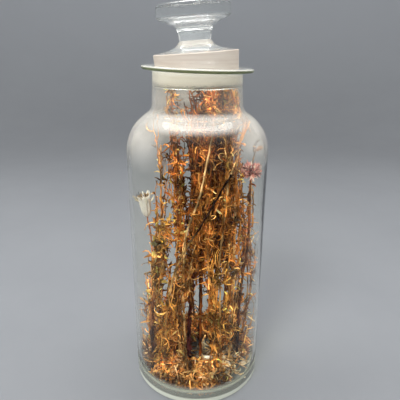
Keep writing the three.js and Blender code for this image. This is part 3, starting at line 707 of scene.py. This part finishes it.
def make_stage():
    """A round mottled floor that runs up into a wall on every side, painted paler where less lamp
    light falls.
    """
    paint = Skin("sweep_paint")
    mottled = paint.blend(paint.span(paint.noise(6, 5), 0, 1), *FLOOR_TONES)
    # Painted light: the wall's colour is paler than the floor's, making up for the light that falls
    # off higher up
    paint.set("Base Color", paint.blend(paint.band(700, 5000, 700), mottled, WALL_PAINTED_LIGHT_TONE))
    paint.set("Roughness", 0.75)
    paint.set("Specular IOR Level", 0.25)
    paint.bump(paint.noise(900, 3), 0.06, 0.0004)
    bend = arc(FLOOR_REACH, WALL_BEND, WALL_BEND, -math.pi / 2, 0, 24)
    profile = [(0, 0), *bend, (FLOOR_REACH + WALL_BEND, WALL_TOP)]
    shape = lathe(profile, [0] * len(profile), STAGE_SIDES)
    shape.mesh("sweep", [paint.owner])


def area_light(name, place_at, size, power, shape="RECTANGLE"):
    data = bpy.data.lights.new(name, "AREA")
    data.shape = shape
    data.size, data.size_y = size
    data.energy = power
    item = put(bpy.data.objects.new(name, data))
    item.location = place_at
    item.rotation_euler = (LAMP_AIM - Vector(place_at)).to_track_quat("-Z", "Y").to_euler()
    return item


def make_lights():
    """A softbox overhead that shows in the glass, and lamps that don't."""
    area_light("top", (0, 0.16, 1), (1.15, 0.8), 6.7, "ELLIPSE")
    for row in HIDDEN_LAMPS:
        lamp = area_light(*row)
        lamp.visible_glossy = lamp.visible_transmission = False


def make_room():
    """A room with grey walls and a white ceiling, which lights dimly and shows in the glass."""
    world = bpy.data.worlds.new("room")
    room = Paint(world)
    path = room.add("LightPath").outputs
    seen = room.most(*[path[f"Is {kind} Ray"] for kind in ("Camera", "Glossy", "Transmission")])
    shown = room.span(room.along("Z", "Generated"), 0.6, 1, 0.1, 0.7)
    sky = room.tree.nodes["Background"]
    room.feed(sky.inputs["Color"], ROOM_TONE)
    room.feed(sky.inputs["Strength"], room.share(seen, ROOM_LIGHT, shown))
    bpy.context.scene.world = world


def make_camera():
    data = bpy.data.cameras.new("photo_camera")
    data.sensor_width = SENSOR_WIDTH
    data.lens = FOCAL_LENGTH / PICTURE_SIDE * SENSOR_WIDTH
    item = put(bpy.data.objects.new("photo_camera", data))
    item.location = Vector(CAMERA_PLACE) * MM
    tilt = Euler((math.pi / 2 - CAMERA_DOWN, 0, 0)).to_matrix()
    roll = Matrix.Rotation(CAMERA_ROLL, 3, "Z")
    item.rotation_euler = (tilt @ roll).to_euler()
    bpy.context.scene.camera = item


make_camera()
make_stage()
make_lights()
make_room()


# The bottle

INNER_WAVER = 0.22


def waver(points, amount, seed):
    """Slow unevenness of blown and pressed glass, square to the axis."""
    rng = np.random.default_rng(seed)
    angle = np.arctan2(points[:, 1], points[:, 0])
    wave = np.zeros(len(points))
    for turns in (2, 3, 5, 7):
        phase, pitch = rng.uniform(0, 6.28), rng.uniform(0.01, 0.05)
        wave += np.sin(turns * angle + phase + pitch * points[:, 2]) / turns
    return wave * amount


def ground_slots(profile, radii, heights):
    """A material number for each stretch of a profile: 1 within some radii and heights, or 0."""
    slots = []
    for (r0, z0), (r1, z1) in zip(profile, profile[1:]):
        within = radii[0] < min(r0, r1) and max(r0, r1) < radii[1]
        level = min(z0, z1) >= heights[0] - TINY and max(z0, z1) <= heights[1] + TINY
        slots.append(int(within and level))
    return slots


def make_bottle():
    profile = bottle_profile()
    heights = (SEAT_FOOT - SEAT_STEP, LIP_TOP - MOUTH_CHAMFER)
    shape = lathe(profile, ground_slots(profile, (0, MOUTH_RADIUS + 0.1), heights))
    points = shape.points[0]
    radius, height = np.hypot(points[:, 0], points[:, 1]), points[:, 2]
    inner = (radius < BODY_RADIUS - BODY_WALL / 2) & (height > 20) & (height < BODY_TOP)
    shift = waver(points, INNER_WAVER, 3) * inner
    points[:, :2] *= (1 + shift / np.maximum(radius, 1))[:, None]
    share = (points[:, 2] - LIP_TOP + LIP_THICKNESS + LIP_TILT_REACH) / LIP_TILT_REACH
    points[:, 2] -= points[:, 0] * math.tan(LIP_TILT) * np.clip(share, 0, 1)
    make_piece(shape, "bottle_glass", "bottle", [CLEAR, GROUND_SEAT], 35)


def make_stopper():
    profile = stopper_profile()
    radii = (cone(PLUG_RADIUS, PLUG_FOOT) - 2 * PLUG_EDGE, math.inf)
    shape = lathe(profile, ground_slots(profile, radii, (PLUG_FOOT, LIP_TOP + PLUG_RISE)))
    turn = Matrix.Rotation(-STOPPER_TILT, 3, "Y")
    shape.points[0][:, 2] -= SEAT_MIDDLE
    shape.points[0] = shape.points[0] @ np.array(turn).T
    shape.points[0][:, 2] += SEAT_MIDDLE
    make_piece(shape, "stopper_glass", "stopper", [KNOB, GROUND_PLUG], 35, "stopper")


make_bottle()
make_stopper()


# The herbs

# What the photograph shows bare: each spot's middle and reach, in pixels, and the depth in front of
# which nothing grows there. The first are clear glass, and the others stalks with nothing before.
BACK = 60
GAPS = [
    (202, 347, 10, 12, BACK), (231, 351, 8, 7, BACK), (203, 300, 5, 9, BACK),
    (222, 292, 4, 8, BACK), (198, 294, 2.5, 9, BACK), (173, 262, 3, 15, BACK),
    (166, 288, 3, 7, BACK), (246, 284, 4, 10, BACK), (188, 178, 2.5, 17, BACK),
    (170, 208, 2.5, 11, BACK),
    (152.5, 325, 4, 24, -17), (189.5, 322, 4, 26, -15), (240.5, 318, 3.5, 28, -9.5),
    *[(206 + 6 * i, 217 - 10 * i, 6, 7, deep) for i, deep in enumerate((-32, -32, -31, -30))],
    *[(212 - 4 * i, 140 + 16 * i, 3, 9, -25) for i in range(4)],
]
PATH_STEPS = 60
STRAND_STEP = 2.8
CURL_STEPS = 9
THIN_SIDES = 4


def place(spot):
    across, deep, up = spot
    height = ROOM_FOOT + up * (ROOM_TOP - ROOM_FOOT)
    radius = room_radius(height)
    return np.array([across * radius, deep * radius, height])


def in_gap(points):
    """Whether each point shows in a gap and is in front of its depth."""
    points = np.asarray(points, float)
    across, ahead, rise = (points - CAMERA_PLACE).T
    depth = ahead * math.cos(CAMERA_DOWN) - rise * math.sin(CAMERA_DOWN)
    up = ahead * math.sin(CAMERA_DOWN) + rise * math.cos(CAMERA_DOWN)
    u, v = (PICTURE_SIDE / 2 + FOCAL_LENGTH / depth * way for way in (across, -up))
    inside = [
        (((u - x) / wide) ** 2 + ((v - y) / high) ** 2 < 1) & (points[:, 1] < deep)
        for x, y, wide, high, deep in GAPS
    ]
    return np.any(inside, axis=0)


def stem(shape, rng, line, radius, low, high, turn=(0, 1), taper=0.35, sides=6):
    """A round stem with nodes, a little wavy and thinner towards its tip."""
    shares = np.linspace(0, 1, len(line))
    line = line + rng.normal(size=line.shape) * radius * 0.22
    swell = 1 + 0.35 * (rng.random(len(line)) < 0.14)
    radii = radius * (1.1 - taper * shares) * swell
    turned = np.interp(shares, turn, (0, 1))[:, None]
    tints = low * (1 - turned) + high * turned
    tints = tints * np.exp(rng.normal(size=(len(line), 1)) * 0.1)
    tangents = unit(np.gradient(line, axis=0))
    side = unit(np.cross(tangents[0], (0.3, 0.9, 0.2)))
    points = []
    for centre, tangent, radius in zip(line, tangents, radii):
        side = unit(side - tangent * (side @ tangent))
        points.extend(ring(centre, radius, side, np.cross(tangent, side), sides))
    shape.add(points, side_faces(len(line), sides), np.repeat(tints, sides, axis=0))


def thin_stem(shape, rng, line, palette, thin, thick, taper=0.5, sides=THIN_SIDES, scale=1):
    """A thin stem or fibre with its radius and its colours drawn."""
    tone, tip = pick(rng, palette, 2)
    stem(shape, rng, line, scale * rng.uniform(thin, thick), tone, tip, (0, 1), taper, sides)


def strand(rng, line, start, end, spread, run, aside):
    """A thin stem that runs beside the stalk, wanders, and leans outwards at its tip."""
    total = np.linalg.norm(np.diff(line, axis=0), axis=1).sum()
    length = run * rng.uniform(0.5, 1.5)
    steps = max(5, int(length / STRAND_STEP))
    first = rng.uniform(start, end)
    shares = first + np.linspace(0, length / total, steps + 1)
    inside = np.clip(shares, 0, 1) * (len(line) - 1)
    rows = np.arange(len(line))
    base = np.stack([np.interp(inside, rows, line[:, k]) for k in range(3)], axis=1)
    base += unit(line[-1] - line[-3]) * (np.maximum(shares - 1, 0) * total)[:, None]
    base[:, 0] += aside
    angle, reach = rng.uniform(0, FULL_TURN), spread * math.sqrt(rng.random())
    side = np.array([math.cos(angle), math.sin(angle), 0])
    lean = rng.normal() * 0.12 + 0.06
    drift = np.cumsum(rng.normal(size=(steps + 1, 3)) * (0.42, 0.42, 0.2), axis=0)
    along = np.linspace(0, length, steps + 1)[:, None]
    return base + side * (reach + lean * along) + drift


def curl(rng, start, run, turn):
    """A loose fibre that bends round as it goes."""
    along = unit(rng.normal(size=3) * (1, 1, 0.9))
    axis = unit(np.cross(along, rng.normal(size=3)))
    line = [start]
    for _ in range(CURL_STEPS):
        angle = turn / CURL_STEPS * rng.uniform(0.5, 1.5)
        along = along * math.cos(angle) + np.cross(axis, along) * math.sin(angle)
        line.append(line[-1] + along * run / CURL_STEPS)
    return np.array(line)


def dress(
    shape, rng, line, stalk,
    start, end, palette, strands, spread, run, count, curls=0, leaf=6.5, slim=0.24, aside=0,
):
    """Thin stems within a spread on a stretch of a stalk, each about as long as a run, small
    leaves on them, and curled fibres. Slim is a leaf's breadth as a share of its length, and
    aside moves it all across."""
    bearers = [line[int(start * PATH_STEPS) : int(end * PATH_STEPS) + 1]]
    for _ in range(strands):
        thin = strand(rng, line, start, end, spread, run, aside)
        if not in_gap(thin).any():
            thin_stem(shape, rng, thin, palette, 0.3, 0.7, scale=stalk)
            bearers.append(thin)
    roots, along = [], []
    for index in rng.integers(len(bearers), size=count):
        bearer = bearers[index]
        i = rng.integers(len(bearer))
        tangent = unit(bearer[min(i + 1, len(bearer) - 1)] - bearer[max(i - 1, 0)] + TINY)
        roots.append(bearer[i])
        along.append(unit(rng.normal(size=3) * (1, 1, 0.5)) + tangent * rng.uniform(0.3, 2.6))
    bare = in_gap(roots)
    roots, along = np.array(roots)[~bare], np.array(along)[~bare]
    count = len(roots)
    length = leaf * rng.uniform(0.5, 1.5, count)
    breadth = length * slim * rng.uniform(0.5, 1.5, count)
    bend = np.abs(rng.normal(size=count)) * 1.9 + 0.8
    leaves(shape, rng, roots, along, length, breadth, bend, pick(rng, palette, count))
    for _ in range(curls):
        bearer = bearers[rng.integers(len(bearers))]
        start = bearer[rng.integers(len(bearer))] + rng.normal(size=3) * 1.5
        fibre = curl(rng, start, rng.uniform(5, 16), rng.uniform(0.6, 4))
        if not in_gap(fibre).any():
            thin_stem(shape, rng, fibre, palette, 0.25, 0.6)


STALKS = {}


def plant(name, stalk, colour, tip, seed, path, *sprays, turn=(0, 1)):
    """Grows a plant on a stalk that goes from its colour to its tip's between two shares of its
    length. Each spray says what dresses it."""
    rng = np.random.default_rng(seed)
    shape = Shape()
    line = STALKS[name] = spline([place(spot) for spot in path], PATH_STEPS)
    stem(shape, rng, line, stalk, linear(colour), linear(tip), turn)
    for spray in sprays:
        dress(shape, rng, line, stalk, *spray)
    shape.keep_inside()
    # Painted shade in the thick of the herbs, and painted light at the glass
    shape.paint_shade_inside()
    make_piece(shape, name + "_dry", name, [LEAF_SKIN])


# The plants. Their paths are shares of the room as the solids have them: across, deep and up.

BROWN = ["b87630", "cc9044", "985a1e", "703e0e", "d8a660", "844c14", "ac6824"]
# The darkest browns go only to the bunches in the middle and behind: partly their own colour,
# partly painted shade behind the herbs in front
DARK = ["5c2a0c", "70380e", "3c1c08", "884a16", "642c0a"]
AMBER = ["e0ac58", "d0903c", "bc782a", "f0c47c", "ac6a20"]
STRAW = ["f0ce90", "e6ba74", "f8e0ac", "d8a65c", "e2b878"]
YELLOW = ["cca044", "d8b45c", "bc9040", "e0c484"]
RED = ["b85624", "cc7238", "a04818", "a85e20", "d8964e"]
PALE = ["f4ead2", "e8dabc", "dccaa4"]
TAN = BROWN + AMBER
GOLD = AMBER + BROWN


plant("white_flower_stalk", 0.75, "c79a5e", "cf8a64", 1,
    [(-0.73, -0.12, 0), (-0.75, -0.19, 0.24), (-0.72, -0.19, 0.5), (-0.77, -0.19, 0.59)],
    (0.05, 0.55, BROWN + STRAW, 13, 2.5, 24, 36, 18),
)
plant("pink_flower_stalk", 0.95, "3a1a18", "a5652a", 2,
    [(0.77, -0.15, 0), (0.72, -0.17, 0.3), (0.8, -0.17, 0.5), (0.8, -0.17, 0.73)],
    (0.05, 0.5, TAN, 20, 3.5, 30, 66, 32),
    (0.5, 0.84, RED + TAN, 10, 3.5, 22, 90, 14, 5, 0.3),
)
plant("curled_stalk", 0.7, "b9824a", "d9b27c", 3,
    [(0.64, 0.22, 0), (0.77, 0.19, 0.29), (0.86, 0.13, 0.48), (0.87, 0.08, 0.77), (0.9, 0.06, 0.8)],
    (0.05, 0.5, AMBER + STRAW, 14, 3, 28, 36, 18),
    (0.5, 0.8, BROWN, 2, 1.5, 16, 8, 0, 4.5, 0.28),
    (0.97, 1, AMBER, 0, 1, 5, 3, 0, 10, 0.4),
)
plant("forked_straw_stalk", 0.8, "e4bc7c", "f2d29a", 4,
    [(-0.17, -0.64, 0), (-0.21, -0.5, 0.4), (-0.14, -0.5, 0.57),
     (0.02, -0.5, 0.67), (0.25, -0.53, 0.88)],
    (0.02, 0.42, TAN + STRAW, 31, 6, 30, 78, 79),
    (0.5, 0.72, STRAW, 3, 1.2, 16, 8, 0, 4.5, 0.25),
)
# Painted shade: this stalk turns from pale to near black along its upper part, where it lies in
# shadow
plant("dark_diagonal_stalk", 0.8, "d0a466", "221009", 5,
    [(-0.58, -0.58, 0), (-0.46, -0.64, 0.28), (-0.28, -0.65, 0.47),
     (0.06, -0.65, 0.6), (0.47, -0.62, 0.76)],
    (0.02, 0.4, GOLD + YELLOW, 36, 5, 28, 102, 90),
    (0.4, 0.52, STRAW, 3, 1.2, 12, 8, 0, 4.5, 0.25),
    turn=(0.66, 0.74),
)
plant("left_straw_stalk", 0.75, "cfa66a", "d9b27c", 6,
    [(-0.65, 0.04, 0), (-0.66, -0.04, 0.25), (-0.58, -0.06, 0.53), (-0.55, -0.04, 0.82)],
    (0.05, 0.5, YELLOW + TAN, 28, 5, 28, 78, 54),
    (0.45, 0.95, STRAW + GOLD, 16, 5, 34, 90, 18, 5, 0.3),
)
plant("right_straw_stalk", 0.9, "dab478", "e6c690", 7,
    [(0.58, -0.37, 0), (0.59, -0.31, 0.28), (0.585, -0.31, 0.47), (0.57, -0.29, 0.76)],
    (0.05, 0.5, STRAW + GOLD, 31, 4.5, 34, 90, 61),
    (0.5, 0.95, TAN, 20, 4.5, 30, 130, 30, 5, 0.28),
)
plant("orange_leaf_stalk", 0.9, "b5651f", "8c6a55", 8,
    [(-0.39, -0.35, 0), (-0.35, -0.29, 0.28), (-0.3, -0.31, 0.51), (-0.29, -0.3, 0.85)],
    (0.05, 0.5, GOLD, 34, 6, 30, 102, 72),
    (0.5, 0.88, RED + AMBER + YELLOW + BROWN, 26, 6, 26, 260, 40, 5.5, 0.38),
)
plant("sprig_stalk", 0.7, "8c6a55", "9a7a68", 9,
    [(-0.35, 0.09, 0), (-0.25, 0.1, 0.5), (-0.35, 0.08, 0.75),
     (-0.51, -0.17, 0.91), (-0.59, -0.49, 0.98)],
    (0.05, 0.5, TAN, 28, 6, 30, 78, 54),
    (0.45, 0.85, BROWN + RED, 26, 6, 34, 140, 30, 5, 0.3),
    (0.84, 1, AMBER + STRAW, 12, 3, 9, 60, 14, 5, 0.28),
)
plant("spiky_leaf_stalk", 0.8, "c9a258", "d9b27c", 10,
    [(0.3, -0.58, 0), (0.33, -0.5, 0.42), (0.41, -0.52, 0.64), (0.46, -0.52, 0.81)],
    (0.02, 0.5, TAN, 39, 6, 32, 108, 83),
    (0.55, 0.9, GOLD, 6, 3, 20, 30, 6, 5, 0.28),
    (0.93, 1, GOLD + STRAW, 6, 2, 8, 18, 8, 10, 0.12),
)
plant("brown_bunch_front", 0.95, "9c5a1e", "8a4b17", 11,
    [(0.06, -0.32, 0), (0.08, -0.33, 0.42), (0.17, -0.31, 0.73),
     (0.32, -0.29, 0.92), (0.31, -0.14, 0.98)],
    (0.4, 0.6, TAN, 60, 7, 30, 260, 130, 5, 0.26),
    (0.6, 0.9, TAN + RED, 120, 8, 26, 420, 230, 5, 0.26, -6),
    (0.45, 0.9, AMBER + STRAW, 14, 8, 30, 60, 100, 5, 0.22, -4),
    (0.88, 1, AMBER + STRAW + RED, 16, 7, 6, 220, 110, 4.5, 0.34),
    (0, 0.45, GOLD, 36, 6, 34, 102, 90),
)
plant("brown_bunch_middle", 0.95, "8f4f1a", "8a4b17", 12,
    [(0.26, -0.11, 0), (0.25, -0.1, 0.42), (0.31, -0.1, 0.73), (0.62, 0, 0.98)],
    (0.4, 0.92, BROWN + DARK, 80, 8, 30, 360, 90, 6, 0.28),
    (0.88, 1, GOLD, 16, 6, 10, 80, 40, 5, 0.3),
    (0, 0.45, BROWN, 31, 6, 34, 72, 54),
)
plant("brown_bunch_right", 0.95, "a3622a", "b9742c", 13,
    [(0.48, -0.09, 0), (0.48, -0.12, 0.42), (0.5, -0.15, 0.73),
     (0.69, -0.26, 0.91), (0.76, -0.38, 0.98)],
    (0.4, 0.92, TAN, 90, 6, 28, 380, 150, 5),
    (0.88, 1, AMBER + STRAW + RED, 16, 6, 6, 200, 90, 4.5, 0.34),
    (0, 0.45, TAN, 31, 5, 34, 72, 54),
)
plant("brown_bunch_back", 0.95, "7c431a", "6e3a12", 14,
    [(0.04, 0.13, 0), (0.06, 0.15, 0.42), (0.1, 0.17, 0.73), (0.24, 0.35, 0.98)],
    (0.4, 0.78, BROWN + DARK, 100, 8, 34, 420, 60, 6, 0.3, -3),
    (0, 0.4, DARK + BROWN, 22, 6, 34, 54, 36),
)
plant("brown_bunch_far", 0.95, "864a1d", "6e3a12", 15,
    [(0.35, 0.22, 0), (0.33, 0.25, 0.42), (0.35, 0.27, 0.73), (0.55, 0.48, 0.98)],
    (0.4, 0.8, BROWN + DARK, 70, 8, 34, 320, 40, 6, 0.3),
    (0.88, 1, AMBER + STRAW + BROWN, 12, 6, 9, 90, 50, 4.5, 0.3),
    (0, 0.4, DARK + BROWN, 22, 6, 34, 54, 36),
)
plant("left_leafy_stalk", 1.5, "4c2422", "b9824a", 16,
    [(-0.76, -0.37, 0), (-0.75, -0.33, 0.22), (-0.645, -0.33, 0.37), (-0.56, -0.31, 0.51)],
    (0.4, 1, GOLD + STRAW + YELLOW, 26, 4.5, 20, 230, 60, 6.5, 0.36),
    (0.96, 1, STRAW + YELLOW, 0, 1, 5, 5, 0, 11, 0.5),
    (0.02, 0.4, TAN, 17, 4, 22, 48, 43),
)
plant("forked_maroon_stalk", 1.6, "7a3a40", "8a5030", 17,
    [(-0.15, -0.28, 0), (-0.13, -0.25, 0.19), (-0.08, -0.23, 0.31), (0.02, -0.19, 0.53)],
    (0.45, 1, TAN, 24, 6, 30, 170, 40, 6, 0.3),
)
plant("right_pale_stalk", 0.7, "b98d66", "cfa66a", 18,
    [(0.84, 0.06, 0), (0.86, 0, 0.3), (0.79, 0.04, 0.5), (0.69, 0.06, 0.68)],
    (0.05, 0.9, STRAW + GOLD, 25, 3.5, 30, 66, 47),
)
plant("short_stalk_left", 0.9, "ad7331", "c79a5e", 19,
    [(-0.48, -0.17, 0), (-0.5, -0.17, 0.24), (-0.42, -0.15, 0.42)],
    (0.05, 1, GOLD + RED, 39, 6, 24, 132, 90),
)
plant("short_stalk_right", 0.8, "b27a38", "cfa66a", 20,
    [(0.45, -0.64, 0), (0.37, -0.69, 0.2), (0.35, -0.69, 0.41)],
    (0.25, 1, GOLD + YELLOW, 25, 5, 22, 78, 54),
)


# Flower heads

WHITE_PETALS = ["fffaf0", "f6eedc", "e4d4b4"]
SEED_TONES = ["3a2414", "5a3a20", "2c1a10"]


def stalk_end(name):
    """A stalk's tip, the way it points, and two directions square to that."""
    line = STALKS[name]
    axis = unit(line[-1] - line[-3])
    side = unit(np.cross(axis, (0.2, 1, 0.1)))
    return line[-1], axis, side, np.cross(axis, side)


def outwards(angles, one, two):
    return np.cos(angles)[:, None] * one + np.sin(angles)[:, None] * two


def petals(shape, rng, roots, along, length, breadth, bend, palette, thickness):
    """Leaves whose length, breadth and bend are each drawn between two numbers."""
    count = len(roots)
    drawn = [rng.uniform(*limits, count) for limits in (length, breadth, bend)]
    leaves(shape, rng, roots, along, *drawn, pick(rng, palette, count), thickness)


def white_head():
    """A papery bell of overlapping bracts, with dark seeds in its mouth."""
    rng = np.random.default_rng(41)
    tip, axis, one, two = stalk_end("white_flower_stalk")
    shape = Shape()
    profile = [
        (0, 0.2), (1.6, 0.5), (2.7, 2.2), (3.4, 5), (3.8, 9), (4.1, 13),
        (4.6, 16.4), (4, 16.9), (3.4, 13.5), (0, 11.5),
    ]
    sides, ribs, mouth = 36, 9, (6, 7)
    points, colours = [], []
    for row, (radius, height) in enumerate(profile):
        for k in range(sides):
            angle = FULL_TURN * k / sides
            rib = 1 + 0.09 * math.cos(ribs * angle) * min(1, radius / 3)
            where = tip + axis * (height + 0.5 * math.cos(ribs * angle) * (row in mouth))
            points.append(where + radius * rib * (math.cos(angle) * one + math.sin(angle) * two))
            shade = linear("fffaf0") if row <= mouth[0] else linear("b59a72")
            colours.append(shade * rng.uniform(0.92, 1.05))
    shape.add(points, side_faces(len(profile), sides), colours)
    count = 16
    angles = np.linspace(0, FULL_TURN, count, endpoint=False) + rng.normal(size=count) * 0.1
    out = outwards(angles, one, two)
    rooted = tip + axis * rng.uniform(11, 15, (count, 1)) + out * 4.3
    slant = rng.uniform(1.2, 3.2, (count, 1))
    along = out + axis * slant
    petals(shape, rng, rooted, along, (4, 7), (2, 3), (0.1, 0.9), WHITE_PETALS, 0.3)
    count = 14
    angles = rng.uniform(0, FULL_TURN, count)
    spread = np.sqrt(rng.random(count)) * 3.4
    out = outwards(angles, one, two)
    rooted = tip + axis * 13.5 + out * spread[:, None]
    along = axis + out * 0.3
    petals(shape, rng, rooted, along, (4, 6.5), (0.8, 1.4), (0.1, 0.5), SEED_TONES, 0.5)
    make_dry(shape, "white_flower_head", PETAL_SKIN)


def pink_head():
    """A round head of many narrow petals over a purple-brown cup."""
    rng = np.random.default_rng(42)
    tip, axis, one, two = stalk_end("pink_flower_stalk")
    shape = Shape()
    cup = [(0.4, 0.2), (1.6, 0.6), (2.4, 2), (2.3, 3.6), (1, 4.4)]
    sides = 14
    points = [p for r, h in cup for p in ring(tip + axis * h, r, one, two, sides)]
    colours = linear("5a3438") * rng.uniform(0.8, 1.2, (len(points), 1))
    shape.add(points, side_faces(len(cup), sides), colours)
    centre = tip + axis * 2.6
    for count, slope, length, palette in (
        (60, 0.1, (7, 10.5), ["e8a4a0", "f0bcb4", "cc8484"]),
        (60, 0.8, (6.5, 9.5), ["f0bcb4", "e8a4a0", "cc8484", "a86064"]),
        (40, 2.4, (5, 8), ["e8a4a0", "cc8484", "985458"]),
    ):
        out = outwards(rng.uniform(0, FULL_TURN, count), one, two)
        along = out + axis * (slope + rng.normal(size=(count, 1)) * 0.25)
        roots = centre + out * 1.2
        petals(shape, rng, roots, along, length, (2.2, 3.4), (0.1, 1), palette, 0.35)
    make_dry(shape, "pink_flower_head", PETAL_SKIN)


# Litter on the floor. Each lump is across and deep as in the paths, and its radius is a share.

LITTER_FLOOR = ROOM_FOOT + PUSH_UP
LITTER_TONES = TAN + STRAW
FIBRE_TONES = STRAW + PALE + GOLD
HEAPS = {
    "litter_front": (51, [
        (-0.52, -0.55, 0.286), (-0.28, -0.72, 0.264), (0, -0.78, 0.264), (0.28, -0.72, 0.22),
        (0, -0.5, 0.242),
    ]),
    "litter_left": (52, [
        (-0.76, -0.14, 0.286), (-0.72, 0.18, 0.286), (-0.44, -0.14, 0.264), (-0.34, 0.22, 0.242),
    ]),
    "litter_back": (53, [
        (-0.3, 0.66, 0.264), (0, 0.7, 0.264), (0.32, 0.62, 0.264), (0.6, 0.4, 0.242),
        (0.78, 0.1, 0.22),
    ]),
}


def litter(seed, lumps, crumbs=230, curls=80):
    rng = np.random.default_rng(seed)
    shape = Shape()
    floor = room_radius(ROOM_FOOT)
    for across, deep, share in lumps:
        centre = np.array([across, deep]) * floor
        radius = share * floor
        distance = np.sqrt(rng.random(crumbs)) * radius * 1.2
        angle = rng.uniform(0, FULL_TURN, crumbs)
        spots = centre + distance[:, None] * np.stack([np.cos(angle), np.sin(angle)], axis=1)
        top = LITTER_DEPTH * (1 - (distance / radius / 1.25) ** 2) * rng.uniform(0.75, 1)
        height = LITTER_FLOOR + rng.random(crumbs) ** 0.8 * np.maximum(top, 1.5)
        roots = np.column_stack([spots, height])
        roots = roots[~in_gap(roots)]
        count = len(roots)
        along = rng.normal(size=(count, 3)) * (1, 1, 0.45)
        length = rng.uniform(3, 10, count)
        breadth = length * rng.uniform(0.15, 0.45, count)
        bend = np.abs(rng.normal(size=count)) * 1.2 + 0.2
        tones = pick(rng, LITTER_TONES, count)
        leaves(shape, rng, roots, along, length, breadth, bend, tones)
        for _ in range(curls):
            spot = centre + rng.normal(size=2) * radius * 0.5
            start = np.array([*spot, LITTER_FLOOR + rng.random() * LITTER_DEPTH])
            fibre = curl(rng, start, rng.uniform(5, 18), rng.uniform(0.2, 2.6))
            if not in_gap(fibre).any():
                thin_stem(shape, rng, fibre, FIBRE_TONES, 0.28, 0.65, 0.3)
    # Painted shade under the litter
    shape.paint_shade_below(LITTER_DEPTH + ROOM_FOOT - 3)
    return shape, rng


def loose_straws(shape, rng, count=270):
    """Pale straws and curled husks lying on the bare floor at the front right."""
    floor = room_radius(ROOM_FOOT)
    across, deep = rng.uniform(0.05, 0.78, count), rng.uniform(-0.75, 0.12, count)
    spots = np.column_stack([across, deep])
    spots = spots[np.hypot(*spots.T) < 0.9] * floor
    for spot in spots[::2]:
        start = np.array([*spot, LITTER_FLOOR + rng.uniform(0.3, 6)])
        fibre = curl(rng, start, rng.uniform(6, 19), rng.uniform(0.1, 1.4))
        fibre[:, 2] = start[2] + (fibre[:, 2] - start[2]) * 0.25
        thin_stem(shape, rng, fibre, STRAW + PALE, 0.35, 0.7, 0.3, 5)
    husks = spots[1::2]
    count = len(husks)
    roots = np.column_stack([husks, LITTER_FLOOR + rng.uniform(1, 9, count)])
    length = rng.uniform(6, 14, count)
    along = rng.normal(size=(count, 3)) * (1, 1, 0.3)
    bend, tones = rng.uniform(0.8, 3, count), pick(rng, PALE, count)
    leaves(shape, rng, roots, along, length, length * 0.35, bend, tones)


white_head()
pink_head()
for name, (seed, lumps) in HEAPS.items():
    shape, rng = litter(seed, lumps)
    if name == "litter_front":
        loose_straws(shape, rng)
    make_dry(shape, name, LEAF_SKIN)


bpy.context.scene.view_settings.view_transform = "Standard"
